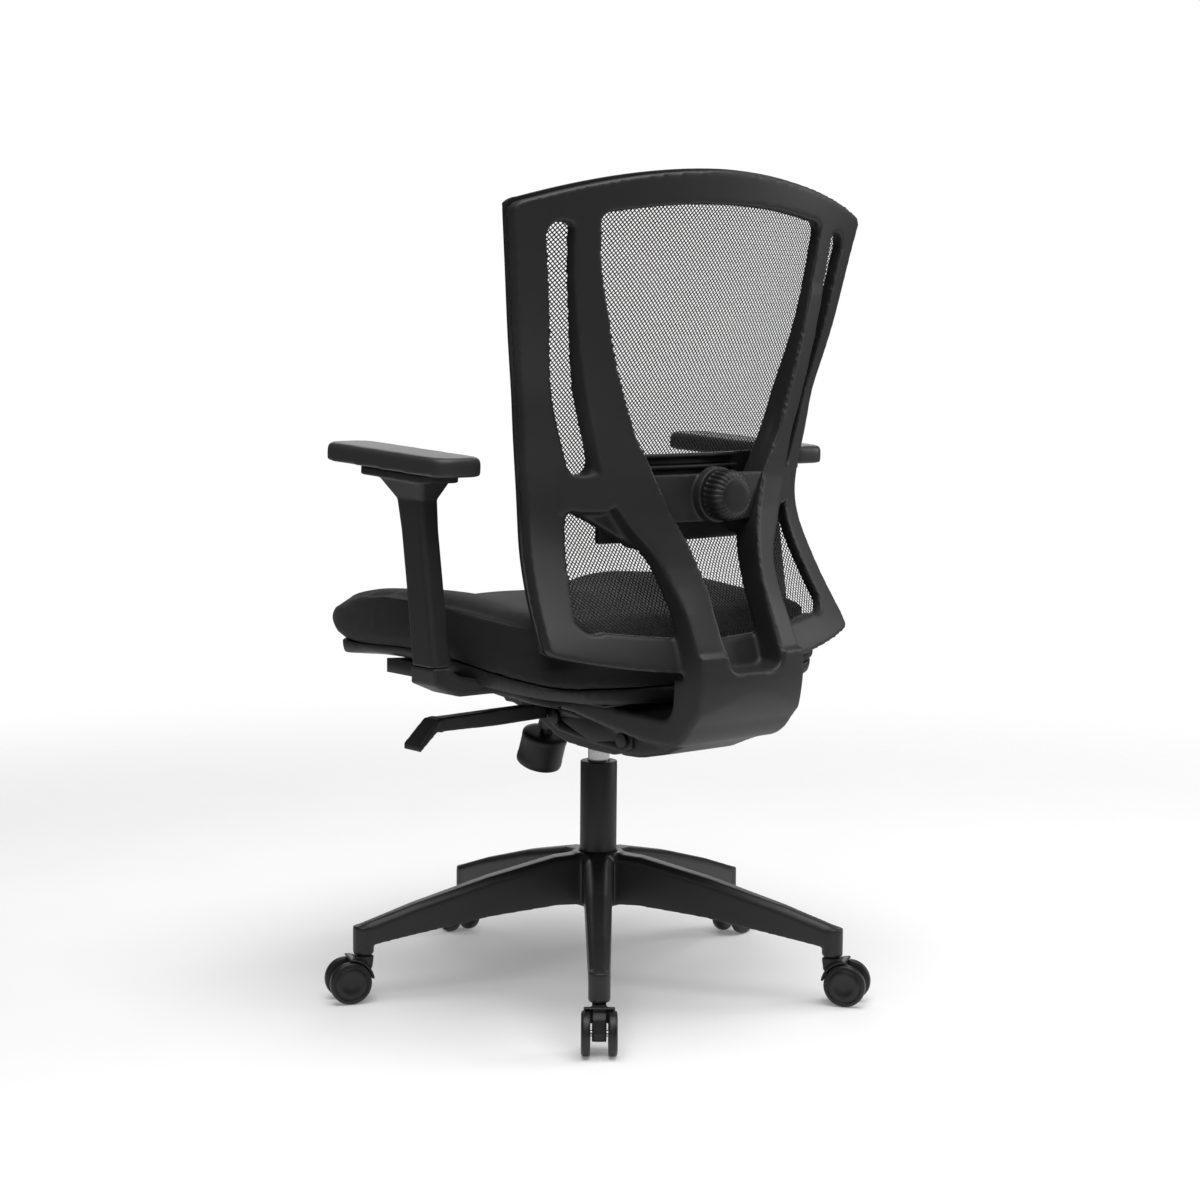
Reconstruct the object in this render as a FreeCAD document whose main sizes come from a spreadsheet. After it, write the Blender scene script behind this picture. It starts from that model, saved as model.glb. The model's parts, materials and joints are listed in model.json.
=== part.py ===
import FreeCAD, Part
import Sketcher
import math
import os

# Swivel office chair with a curved mesh back, a J shaped back support and a five-arm caster base.
# Millimetres. +Z up, +X the sitter's left, +Y to the rear. Origin on the floor, on the swivel axis.

Vec = FreeCAD.Vector
X_AXIS, Y_AXIS, Z_AXIS = Vec(1, 0, 0), Vec(0, 1, 0), Vec(0, 0, 1)
ARM_COUNT = 5
FIRST_ARM_DEG = 50.5
SIDES = {"left": 1, "right": -1}

SIZES = {
    # star base and column
    "stem_circle": 315.0, "tip_top": 97.0, "tip_bottom": 60.0, "boss_radius": 13.5,
    "hub_radius": 33.0, "hub_bottom": 106.0, "hub_top": 176.0,
    "tube_radius": 24.0, "tube_bottom": 103.0, "tube_top": 295.0, "tube_cavity_radius": 20.5,
    "cylinder_radius": 14.0, "cylinder_bore_radius": 11.5, "cylinder_bottom": 129.0,
    "cylinder_top": 366.0, "rod_radius": 5.0, "rod_top": 250.0, "guide_length": 60.0,
    "running_gap": 0.05, "clearance": 0.4,
    # casters
    "wheel_radius": 27.0, "wheel_inner": 10.4, "wheel_outer": 21.8, "wheel_trail": 20.0,
    "axle_radius": 4.0, "stem_radius": 5.45, "stem_top": 90.0, "web_half": 8.6,
    # mechanism
    "housing_half": 56.0, "housing_wall": 3.0, "plate_gap": 4.0, "plate_thickness": 4.0,
    "recline_y": -10.0, "recline_z": 357.0, "tilt_y": -105.0, "tilt_z": 376.0,
    "pivot_radius": 6.0, "bolt_y": 124.0, "bolt_z": 345.0,
    "knob_radius": 31.0, "knob_length": 47.0, "knob_tilt": 20.0, "knob_y": -111.0, "knob_z": 317.0,
    "lever_y": -34.0, "lever_z": 366.0, "lever_pivot_x": 44.0, "lever_pin_radius": 2.5,
    # seat
    "seat_half": 244.0, "seat_front": -311.0, "seat_rear": 186.0, "seat_dish": 4.0,
    "cushion_bottom": 447.0, "pan_rim_bottom": 437.0, "pan_bottom": 403.6,
    "paddle_x": 200.0, "paddle_y": -108.0, "paddle_z": 422.0, "paddle_pin_radius": 2.5,
    "plate_bottom": 394.0, "plate_top": 397.0, "rail_top": 403.2, "seat_plate_half": 118.0,
    "plate_front": -135.0, "plate_length": 285.0,
    # arms
    "arm_x": 287.0, "pad_width": 74.0, "pad_front": -165.0, "pad_rear": 90.0, "pad_top": 707.6,
    "pad_bottom": 684.1, "pad_tilt": 2.65, "arm_plate_bottom": 673.0, "arm_plate_top": 683.6,
    "sleeve_bottom": 446.0, "sleeve_width": 49.0, "sleeve_thickness": 30.0, "sleeve_lean": 8.65,
    "post_width": 32.0, "post_thickness": 14.0, "bracket_y": 24.7, "bracket_bolt_x": 104.0,
    "button_low": 552.0, "button_width": 12.0, "button_height": 18.0,
    # backrest
    "frame_depth": 19.0, "gasket_depth": 5.0, "gasket_lip": 3.2, "mesh_depth": 1.6, "arch_top": 1045.0,
    "tail_half": 85.5, "tail_rear": 299.0, "tail_plan_radius": 461.0, "cheek_inner": 66.0,
    "lumbar_z": 655.5, "lumbar_knob_radius": 31.5,
}

doc = FreeCAD.newDocument("office_chair")
sheet = doc.addObject("Spreadsheet::Sheet", "Sizes")
for row, (alias, value) in enumerate(SIZES.items(), start=1):
    sheet.set(f"A{row}", alias)
    sheet.set(f"B{row}", str(value))
    sheet.setAlias(f"B{row}", alias)
doc.recompute()

nodes = []


def size(alias):
    return float(sheet.get(alias))


def node(item, label):
    """Names a finished sub-part and keeps it for the export."""
    item.Label = label
    nodes.append(item)
    return item


def bind(item, prop, value):
    """Sets a property from a number, or binds it to sheet cells when given an expression."""
    if isinstance(value, str):
        item.setExpression(prop, value)
    else:
        setattr(item, prop, value)


def evaluate(value):
    """The number that a plain number or an expression of sheet cells stands for."""
    return float(sheet.evalExpression(value)) if isinstance(value, str) else float(value)


def place(item, at, axis=Z_AXIS):
    """Puts an item at a point, with its own Z turned to an axis; the point may hold expressions."""
    spot = Vec(*[evaluate(value) for value in at])
    item.Placement = FreeCAD.Placement(spot, FreeCAD.Rotation(Z_AXIS, Vec(*axis)))
    for letter, value in zip("xyz", at):
        if isinstance(value, str):
            item.setExpression(f"Placement.Base.{letter}", value)


def cylinder(name, radius, height, at=(0, 0, 0), axis=Z_AXIS):
    item = doc.addObject("Part::Cylinder", name)
    bind(item, "Radius", radius)
    bind(item, "Height", height)
    place(item, at, axis)
    return item


def box(name, length, width, height, at):
    """A box from its lowest corner, with sizes along X, Y and Z."""
    item = doc.addObject("Part::Box", name)
    for prop, value in (("Length", length), ("Width", width), ("Height", height)):
        bind(item, prop, value)
    place(item, at)
    return item


def fuse(name, items):
    item = doc.addObject("Part::MultiFuse", name)
    item.Shapes = items
    return item


def cut(name, base, tools):
    item = doc.addObject("Part::Cut", name)
    item.Base = base
    item.Tool = tools[0] if len(tools) == 1 else fuse(name + "_tools", tools)
    return item


def group(name, items):
    """Several separate solids of one kind, kept as one sub-part."""
    item = doc.addObject("Part::Compound", name)
    item.Links = items
    return item


def feature(name, shape, placement=None):
    """A shape that neither a sketch nor a primitive describes."""
    item = doc.addObject("Part::Feature", name)
    item.Shape = shape
    if placement:
        item.Placement = placement
    return item


def polygon(points):
    vectors = [Vec(*point) for point in points]
    return Part.makePolygon(vectors + vectors[:1])


def prism(points, direction):
    """Extrudes a closed flat outline of straight sides."""
    return Part.Face(polygon(points)).extrude(Vec(*direction))


def curve(points):
    spline = Part.BSplineCurve()
    spline.interpolate([Vec(*point) for point in points])
    return spline.toShape()


def outline_prism(edges, direction):
    """Extrudes a closed flat outline of any edges, given in order."""
    return Part.Face(Part.Wire(edges)).extrude(Vec(*direction))


def side_profile(points, half_width):
    """Extrudes an outline in the YZ plane to both sides of X = 0."""
    return prism([(-half_width, y, z) for y, z in points], (2 * half_width, 0, 0))


def lathe(label, outline, at=(0, 0, 0), axis=Z_AXIS):
    """A body turned from a closed outline of (radius, height) pairs, which may be expressions."""
    body = doc.addObject("PartDesign::Body", label)
    plane = next(item for item in body.Origin.OriginFeatures if item.Role == "XZ_Plane")
    sketch = body.newObject("Sketcher::SketchObject", label + "_profile")
    sketch.AttachmentSupport = (plane, [""])
    sketch.MapMode = "FlatFace"
    corners = [Vec(evaluate(radius), evaluate(height), 0) for radius, height in outline]
    count = len(corners)
    for index, corner in enumerate(corners):
        sketch.addGeometry(Part.LineSegment(corner, corners[(index + 1) % count]), False)
    for index in range(count):
        sketch.addConstraint(Sketcher.Constraint("Coincident", index, 2, (index + 1) % count, 1))
    for index, pair in enumerate(outline):
        for kind, value, number in zip(("DistanceX", "DistanceY"), pair, corners[index]):
            constraint = Sketcher.Constraint(kind, -1, 1, index, 1, number)
            spot = sketch.addConstraint(constraint)
            if isinstance(value, str):
                sketch.setExpression(f"Constraints[{spot}]", value)
    turn = body.newObject("PartDesign::Revolution", label + "_turn")
    turn.Profile = sketch
    turn.ReferenceAxis = (sketch, ["V_Axis"])
    turn.Angle = 360
    body.Tip = turn
    place(body, at, axis)
    return body


# ---------------------------------------------------------------- star base and column

def star_base():
    """Five tapering arms with a stem boss each, joined by a hub that holds the column."""
    circle, tip_top, tip_bottom = size("stem_circle"), size("tip_top"), size("tip_bottom")
    hub_top, hub_bottom = size("hub_top"), size("hub_bottom")
    stations = [  # distance from the axis, top, bottom, half width
        (10, hub_top, hub_bottom + 2, 21),
        (60, hub_top - 4, hub_bottom + 3, 18),
        (150, hub_top - 25, hub_bottom - 6, 16.5),
        (250, hub_top - 54, hub_bottom - 23, 14.5),
        (circle + 6, tip_top + 1, tip_bottom + 10, 12.5),
    ]
    wires = []
    for reach, top, bottom, half in stations:
        ridge = half * 0.55
        wires.append(polygon([(reach, -half, bottom), (reach, half, bottom),
                              (reach, half, top - 7), (reach, ridge, top),
                              (reach, -ridge, top), (reach, -half, top - 7)]))
    arm = Part.makeLoft(wires, True, True)
    solid = Part.makeCylinder(size("hub_radius"), hub_top - hub_bottom, Vec(0, 0, hub_bottom))
    spots = []
    for index in range(ARM_COUNT):
        turn = FIRST_ARM_DEG + index * 360 / ARM_COUNT
        spoke = arm.copy()
        spoke.rotate(Vec(0, 0, 0), Z_AXIS, turn)
        solid = solid.fuse(spoke)
        spots.append(stem_spot(index))
    for spot in spots:
        foot = spot + Vec(0, 0, tip_bottom)
        solid = solid.fuse(Part.makeCylinder(size("boss_radius"), tip_top - tip_bottom, foot))
    solid = solid.removeSplitter()
    bore = Part.makeCylinder(size("tube_radius"), 200, Vec(0, 0, 60))
    solid = solid.cut(bore)
    for spot in spots:
        hole = Part.makeCylinder(size("stem_radius") + size("running_gap"),
                                 size("stem_top") + 1 - tip_bottom + 5, spot + Vec(0, 0, tip_bottom - 5))
        solid = solid.cut(hole)
    node(feature("star_base_shape", solid), "star_base")


def stem_spot(index):
    """Where one caster's stem axis meets the floor."""
    turn = math.radians(FIRST_ARM_DEG + index * 360 / ARM_COUNT)
    return Vec(math.cos(turn), math.sin(turn), 0) * size("stem_circle")


def column():
    """Outer tube with its guide bush, the gas cylinder that slides in it, the rod and its bearing."""
    tube = lathe("tube_body", [
        ("Sizes.cylinder_radius + Sizes.running_gap", "Sizes.tube_top - Sizes.guide_length"),
        ("Sizes.cylinder_radius + Sizes.running_gap", "Sizes.tube_top"),
        ("Sizes.tube_radius", "Sizes.tube_top"),
        ("Sizes.tube_radius", "Sizes.tube_bottom"),
        ("Sizes.rod_radius + Sizes.running_gap", "Sizes.tube_bottom"),
        ("Sizes.rod_radius + Sizes.running_gap", "Sizes.tube_bottom + 6"),
        ("Sizes.tube_cavity_radius", "Sizes.tube_bottom + 6"),
        ("Sizes.tube_cavity_radius", "Sizes.tube_top - Sizes.guide_length"),
    ])
    node(tube, "column_tube")
    bearing = lathe("bearing_body", [
        ("Sizes.rod_radius + 0.3", "Sizes.tube_bottom + 6"),
        ("Sizes.rod_radius + 0.3", "Sizes.tube_bottom + 11"),
        (13, "Sizes.tube_bottom + 11"),
        (13, "Sizes.tube_bottom + 6"),
    ])
    node(bearing, "thrust_bearing")
    rod = lathe("rod_body", [
        (0, "Sizes.tube_bottom - 7"),
        (0, "Sizes.rod_top"),
        ("Sizes.rod_radius", "Sizes.rod_top"),
        ("Sizes.rod_radius", "Sizes.tube_bottom + 15"),
        (9, "Sizes.tube_bottom + 15"),
        (9, "Sizes.tube_bottom + 11.3"),
        ("Sizes.rod_radius", "Sizes.tube_bottom + 11.3"),
        ("Sizes.rod_radius", "Sizes.tube_bottom - 7"),
    ])
    node(rod, "piston_rod")
    clip = lathe("clip_body", [
        ("Sizes.rod_radius", "Sizes.tube_bottom - 2.4"),
        ("Sizes.rod_radius", "Sizes.tube_bottom - 0.4"),
        (10, "Sizes.tube_bottom - 0.4"),
        (10, "Sizes.tube_bottom - 2.4"),
    ])
    node(clip, "retaining_clip")
    cylinder_body = lathe("cylinder_body", [
        ("Sizes.rod_radius + 0.3", "Sizes.cylinder_bottom"),
        ("Sizes.rod_radius + 0.3", "Sizes.cylinder_bottom + 8"),
        ("Sizes.cylinder_bore_radius", "Sizes.cylinder_bottom + 8"),
        ("Sizes.cylinder_bore_radius", "Sizes.rod_top + 70"),
        (0, "Sizes.rod_top + 70"),
        (0, "Sizes.cylinder_top - 14"),
        (4.05, "Sizes.cylinder_top - 14"),
        (4.05, "Sizes.cylinder_top"),
        (12.5, "Sizes.cylinder_top"),
        ("Sizes.cylinder_radius", "Sizes.cylinder_top - 45"),
        ("Sizes.cylinder_radius", "Sizes.cylinder_bottom"),
    ])
    node(cylinder_body, "gas_cylinder")
    node(cylinder("button_pin", 4, 16, (0, 0, "Sizes.cylinder_top - 9")), "release_button")


# ---------------------------------------------------------------- casters

def caster(index):
    """One twin-wheel caster: hood with neck and fender, steel stem and axle, and the wheel pair."""
    turn = FIRST_ARM_DEG + index * 360 / ARM_COUNT
    spot = FreeCAD.Placement(stem_spot(index), FreeCAD.Rotation(Z_AXIS, turn))
    trail, wheel = size("wheel_trail"), size("wheel_radius")
    web = size("web_half")
    gap = size("clearance")
    neck_top = size("tip_bottom") - 0.8
    outline = [(-12, neck_top), (12, neck_top), (trail + 4, 44), (trail + 9, 27), (trail + 2, 17),
               (trail - 7, 16), (4, 26), (-10, 44)]
    hood = prism([(x, -web, z) for x, z in outline], (0, 2 * web, 0))
    ring = Part.makeCylinder(wheel + 4.2, 2 * size("wheel_outer") - 6,
                             Vec(trail, size("wheel_outer") - 3, wheel), Vec(0, -1, 0))
    ring = ring.cut(Part.makeCylinder(wheel + 1.2, 100, Vec(trail, 50, wheel), Vec(0, -1, 0)))
    sector = prism([(trail, -40, wheel), (trail - 60, -40, wheel + 8), (trail - 60, -40, wheel + 70),
                    (trail + 2, -40, wheel + 70)], (0, 80, 0))
    below_tip = Part.makeBox(200, 100, neck_top, Vec(-100, -50, 0))
    hood = hood.fuse(ring.common(sector)).common(below_tip)
    stem_hole = Part.makeCylinder(size("stem_radius"), 40, Vec(0, 0, 44))
    axle_hole = Part.makeCylinder(size("axle_radius"), 60, Vec(trail, 30, wheel), Vec(0, -1, 0))
    hood = hood.cut(stem_hole).cut(axle_hole)
    node(feature(f"hood_shape_{index + 1}", hood, spot), f"caster_hood_{index + 1}")

    stem = cylinder(f"stem_{index + 1}", "Sizes.stem_radius", "Sizes.stem_top - 44", (0, 0, 44))
    axle = cylinder(f"axle_{index + 1}", "Sizes.axle_radius", "2 * Sizes.wheel_outer - 3",
                    ("Sizes.wheel_trail", "Sizes.wheel_outer - 1.5", "Sizes.wheel_radius"), (0, -1, 0))
    pins = group(f"pins_{index + 1}", [stem, axle])
    pins.Placement = spot
    node(pins, f"caster_pins_{index + 1}")

    wheels = []
    for side in SIDES.values():
        inner, outer = side * size("wheel_inner"), side * size("wheel_outer")
        tread = Part.makeCylinder(wheel, abs(outer - inner), Vec(trail, inner, wheel), Vec(0, side, 0))
        rims = [edge for edge in tread.Edges if edge.Curve.TypeId == "Part::GeomCircle"]
        tread = tread.makeFillet(2.0, rims)
        bore = Part.makeCylinder(size("axle_radius") + size("running_gap"), abs(outer - inner) - 1.2,
                                 Vec(trail, inner, wheel), Vec(0, side, 0))
        wheels.append(tread.cut(bore))
    node(feature(f"wheels_shape_{index + 1}", Part.makeCompound(wheels), spot),
         f"caster_wheels_{index + 1}")


# ---------------------------------------------------------------- tilt mechanism

def mechanism():
    """Tub shaped housing on the gas cylinder, with its springs, pivots, lever and tension knob."""
    half, wall = size("housing_half"), size("housing_wall")
    outer = [(-124, 386), (-124, 366), (-56, 348), (-20, 331), (4, 324.5), (60, 321), (97, 321), (97, 362)]
    inner = [(-120, 387), (-120, 369), (-55, 351.5), (-18, 334.5), (5, 328), (61, 324.5), (93.5, 324.5),
             (93.5, 363)]
    housing = side_profile(outer, half).cut(side_profile(inner, half - wall))
    socket = Part.makeCylinder(22, 38, Vec(0, 0, 325))
    bore = Part.makeCone(14.06, 12.56, 45, Vec(0, 0, size("cylinder_top") - 45))
    housing = housing.fuse([socket, tension_axis_cylinder(13, 8, 44)]).cut(bore)
    pivot = size("pivot_radius")
    for side in SIDES.values():
        for y_name, z_name in (("recline_y", "recline_z"), ("tilt_y", "tilt_z")):
            start = Vec(side * (half - 14), size(y_name), size(z_name))
            housing = housing.cut(Part.makeCylinder(pivot, 20, start, Vec(side, 0, 0)))
    housing = housing.cut(tension_axis_cylinder(8.3, -20, 60))
    lever_x, lever_y, lever_z = size("lever_pivot_x"), size("lever_y"), size("lever_z")
    housing = housing.cut(Part.makeBox(20, 15, 18, Vec(half - 10, lever_y - 7.5, lever_z - 9)))
    for low_y in (lever_y - 13, lever_y + 9):
        housing = housing.fuse(Part.makeBox(half - lever_x + 4, 4, 12, Vec(lever_x - 6, low_y, lever_z - 6)))
    pin_start = Vec(lever_x, lever_y - 13, lever_z)
    housing = housing.fuse(Part.makeCylinder(size("lever_pin_radius"), 26, pin_start, Y_AXIS))
    node(feature("housing_shape", housing), "mechanism_housing")

    reach = "Sizes.housing_half + Sizes.plate_gap + Sizes.plate_thickness"
    tilt_at = (f"-({reach}) - 1", "Sizes.tilt_y", "Sizes.tilt_z")
    shaft = cylinder("tilt_shaft", "Sizes.pivot_radius", f"2 * ({reach}) + 2", tilt_at, X_AXIS)
    shafts = {"tilt": [shaft], "recline": []}
    for name, side in SIDES.items():
        stub_at = (f"{side} * (Sizes.housing_half - 12)", "Sizes.recline_y", "Sizes.recline_z")
        stub = cylinder(f"recline_stub_{name}", "Sizes.pivot_radius", f"{reach} + 13 - Sizes.housing_half",
                        stub_at, (side, 0, 0))
        shafts["recline"].append(stub)
    for pivot, items in shafts.items():
        for name, side in SIDES.items():
            head_at = (f"{side} * ({reach} + 0.5)", f"Sizes.{pivot}_y", f"Sizes.{pivot}_z")
            items.append(cylinder(f"{pivot}_head_{name}", 9.5, 5, head_at, (side, 0, 0)))
        node(fuse(f"{pivot}_pivot_fused", items), f"{pivot}_pivot")

    coils = []
    for side in SIDES.values():
        start = Vec(side * 14, size("tilt_y"), size("tilt_z"))
        coil = Part.makeCylinder(10.5, 30, start, Vec(side, 0, 0))
        coils.append(coil.cut(Part.makeCylinder(6.8, 30, start, Vec(side, 0, 0))))
    node(feature("spring_shapes", Part.makeCompound(coils)), "tilt_springs")


def tension_axis_cylinder(radius, low, high):
    """A cylinder on the tension knob's leaning axis, between two distances along it."""
    tilt = math.radians(size("knob_tilt"))
    direction = Vec(0, math.sin(tilt), math.cos(tilt))
    origin = Vec(0, size("knob_y"), size("knob_z"))
    return Part.makeCylinder(radius, high - low, origin + direction * low, direction)


def tension_knob():
    length = size("knob_length")
    knob = tension_axis_cylinder(size("knob_radius"), -length, -2)
    rims = [edge for edge in knob.Edges if edge.Curve.TypeId == "Part::GeomCircle"]
    knob = knob.makeFillet(2.5, rims)
    knob = knob.cut(tension_axis_cylinder(8, -20, 0))
    node(feature("knob_shape", knob), "tension_knob")
    node(feature("screw_shape", tension_axis_cylinder(8, -20, 46)), "tension_screw")


def height_lever():
    """Flat bar out of the housing's left side, bent down to a paddle at its end."""
    x, y, z = size("lever_pivot_x"), size("lever_y"), size("lever_z")
    shaft = Part.makeCylinder(6, 26, Vec(x, y, z), X_AXIS)
    barrel = Part.makeCylinder(6, 14, Vec(x, y - 7, z), Y_AXIS)
    arm_low = size("cylinder_top") + 8
    inner_arm = prism([(x + 8, y + 5, arm_low), (x, y - 5, arm_low), (-4, -6, arm_low), (-4, 6, arm_low),
                       (8, 6, arm_low)], (0, 0, 4))
    riser = Part.makeBox(8, 10, arm_low - z + 4, Vec(x, y - 5, z))
    bar = Part.makeLoft([
        lever_section(66, y - 8, y + 8, z - 12, z + 7),
        lever_section(150, y - 9, y + 9, z - 14, z + 6),
        lever_section(238, y - 6, y + 14, z - 12, z + 5),
    ], True, True)
    pin_radius = size("lever_pin_radius") + size("running_gap")
    pin_hole = Part.makeCylinder(pin_radius, 30, Vec(x, y - 15, z), Y_AXIS)
    lever = barrel.fuse([shaft, bar, inner_arm, riser]).cut(pin_hole)
    node(feature("lever_shape", lever), "height_lever")
    paddle = Part.makeLoft([
        lever_section(238, y - 8, y + 16, z - 13, z + 6),
        lever_section(250, y - 10, y + 20, z - 11, z + 4),
        lever_section(279, y - 12, y + 24, z - 33, z - 25),
    ], True, True)
    node(feature("paddle_shape", paddle), "lever_paddle")


def lever_section(x, low_y, high_y, low_z, high_z):
    """Upright rectangle across the lever at a distance out."""
    return polygon([(x, low_y, low_z), (x, high_y, low_z), (x, high_y, high_z), (x, low_y, high_z)])


# ---------------------------------------------------------------- seat

def seat_plate():
    """Steel plate that tilts with the seat, with two ears on the front pivot."""
    plate = box("plate_sheet", "2 * Sizes.seat_plate_half", "Sizes.plate_length",
                "Sizes.plate_top - Sizes.plate_bottom",
                ("-Sizes.seat_plate_half", "Sizes.plate_front", "Sizes.plate_bottom"))
    ears = []
    for name, side in SIDES.items():
        low = "Sizes.housing_half + 0.5" if side > 0 else "-Sizes.housing_half - 3.5"
        ears.append(box(f"plate_ear_{name}", 3, 34, "Sizes.plate_bottom - Sizes.tilt_z + 12",
                        (low, "Sizes.tilt_y - 17", "Sizes.tilt_z - 12")))
        start = side * 82 - 2
        flange = prism([(start, -132, 395), (start, -132, 386), (start, -100, 380), (start, -52, 382),
                        (start, -52, 395)], (4, 0, 0))
        ears.append(feature(f"plate_flange_{name}", flange))
    hole = cylinder("ear_hole", "Sizes.pivot_radius + Sizes.running_gap", 200,
                    (-100, "Sizes.tilt_y", "Sizes.tilt_z"), X_AXIS)
    holes = [hole]
    for side in SIDES.values():
        for x, y in bracket_bolt_spots(side):
            holes.append(cylinder(f"plate_hole_{len(holes)}", 3, 20, (x, y, "Sizes.plate_bottom - 5")))
    node(cut("seat_plate_cut", fuse("seat_plate_blank", [plate, *ears]), holes), "seat_plate")
    rails = []
    for name, side in SIDES.items():
        rails.append(box(f"rail_{name}", 22, 250, "Sizes.rail_top - Sizes.plate_top",
                         (side * 75 - 11, -120, "Sizes.plate_top")))
    node(group("rails", rails), "slide_rails")


def plan_outline(inset, height, front, rear, half):
    """Seat outline in plan: rounded front and rear corners with slightly bowed sides."""
    half, front, rear = half - inset, front + inset, rear - inset
    side_y = (front + rear) / 2
    right = [(0, front), (half * 0.45, front + 2), (half - 55, front + 10), (half - 18, front + 30),
             (half - 3, front + 75), (half, side_y), (half - 3, rear - 90), (half * 0.87, rear - 22),
             (half * 0.5, rear - 3), (0, rear)]
    points = [Vec(x, y, height) for x, y in right] + [Vec(-x, y, height) for x, y in right[-2:0:-1]]
    spline = Part.BSplineCurve()
    spline.interpolate(points, PeriodicFlag=True)
    return Part.Wire(spline.toShape())


SEAT_EDGE = [(-324, 460), (-293, 484), (-262, 497), (-233, 504), (-153, 512), (-100, 514), (-6, 510),
             (59, 505), (146, 498), (200, 489)]  # along the seat, and how high the side edge is there


def seat_top():
    """Everything under the cushion's dished top, as a loft along the seat."""
    half, dish, low = size("seat_half"), size("seat_dish"), size("cushion_bottom")
    wires = []
    for y, edge in SEAT_EDGE:
        across = [(1.02, -22), (0.93, 0), (0.5, 1 - dish), (0, -dish)]
        across += [(-share, rise) for share, rise in across[-2::-1]]
        top = [(share * half, y, edge + rise) for share, rise in across]
        corners = [Vec(*top[-1]), Vec(top[-1][0], y, low), Vec(top[0][0], y, low), Vec(*top[0])]
        edges = [curve(top)] + [Part.makeLine(corners[i], corners[i + 1]) for i in range(3)]
        wires.append(Part.Wire(edges))
    return Part.makeLoft(wires, True, False)


def seat():
    """Upholstered cushion in a dished pan, with the depth paddle under its front left edge."""
    half, front, rear = size("seat_half"), size("seat_front"), size("seat_rear")
    bottom = size("cushion_bottom")
    plan = Part.Face(plan_outline(0, bottom, front, rear, half)).extrude(Vec(0, 0, 200))
    node(feature("cushion_shape", plan.common(seat_top())), "seat_cushion")

    rim_top, rim_low, floor_z = bottom - 0.6, size("pan_rim_bottom"), size("pan_bottom")
    sections = [(4, rim_top, front, rear, half), (6, rim_low, front, rear, half),
                (0, rim_low - 6, front + 44, rear - 10, 200), (0, floor_z + 10, -195, rear - 14, 152),
                (0, floor_z, -150, rear - 20, 118)]
    outer = Part.makeLoft([plan_outline(i, z, f, r, w) for i, z, f, r, w in sections], True, True)
    inner = Part.makeLoft([plan_outline(i + 4, z + 3, f, r, w) for i, z, f, r, w in sections], True, True)
    pin_x, pin_y, pin_z = size("paddle_x"), size("paddle_y"), size("paddle_z")
    pin_radius = size("paddle_pin_radius")
    pan = outer.cut(inner)
    for low_y in (pin_y - 30, pin_y + 25):
        pan = pan.fuse(Part.makeBox(12, 5, 20, Vec(pin_x - 6, low_y, pin_z - 5)).cut(inner))
    pin_hole = Part.makeCylinder(pin_radius + size("running_gap"), 70, Vec(pin_x, pin_y - 35, pin_z), Y_AXIS)
    node(feature("pan_shape", pan.cut(pin_hole)), "seat_pan")

    blade = Part.makeLoft([
        lever_section(pin_x - 4, pin_y - 24, pin_y + 24, pin_z - 4, pin_z + 4),
        lever_section(pin_x + 42, pin_y - 27, pin_y + 27, pin_z - 15, pin_z + 7),
    ], True, True)
    pin = Part.makeCylinder(pin_radius, 60, Vec(pin_x, pin_y - 30, pin_z), Y_AXIS)
    node(feature("slide_paddle_shape", blade.fuse(pin)), "slide_paddle")


# ---------------------------------------------------------------- arms

def bracket_bolt_spots(side):
    return [(side * size("bracket_bolt_x"), size("bracket_y") + shift) for shift in (-16, 16)]


def bracket_bolts():
    """Four screws that hold the arm brackets up against the seat plate."""
    screws = []
    for side in SIDES.values():
        for x, y in bracket_bolt_spots(side):
            shank = Part.makeCylinder(3, 15, Vec(x, y, 382))
            head = Part.makeCylinder(5.5, 3.5, Vec(x, y, 378.5))
            screws.append(shank.fuse(head))
    node(feature("bracket_bolt_shapes", Part.makeCompound(screws)), "bracket_bolts")


def lean_shift(z):
    """How far forward the leaning upright has moved at a height."""
    return (z - size("sleeve_bottom")) * math.tan(math.radians(size("sleeve_lean")))


def upright_section(z, x, width, thickness, offset=0.0, corner=8.0):
    """Rounded rectangle across the upright at a height; width runs along Y."""
    y = size("bracket_y") - lean_shift(z) + offset
    return rounded_rectangle(x, y, z, thickness, width, corner)


def rounded_rectangle(x, y, z, length, width, corner):
    """Flat wire of a rectangle with rounded corners, centred on a point, level."""
    a, b = length / 2, width / 2
    edges = []
    bend = corner * (1 - math.sqrt(0.5))
    for sx, sy, swap in ((1, 1, False), (-1, 1, True), (-1, -1, False), (1, -1, True)):
        first = Vec(x + sx * a, y + sy * (b - corner), z)
        last = Vec(x + sx * (a - corner), y + sy * b, z)
        if swap:
            first, last = last, first
        middle = Vec(x + sx * (a - bend), y + sy * (b - bend), z)
        edges.append((first, middle, last))
    wires = []
    for index, (first, middle, last) in enumerate(edges):
        wires.append(Part.Arc(first, middle, last).toShape())
        wires.append(Part.makeLine(last, edges[(index + 1) % 4][0]))
    return Part.Wire(wires)


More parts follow.
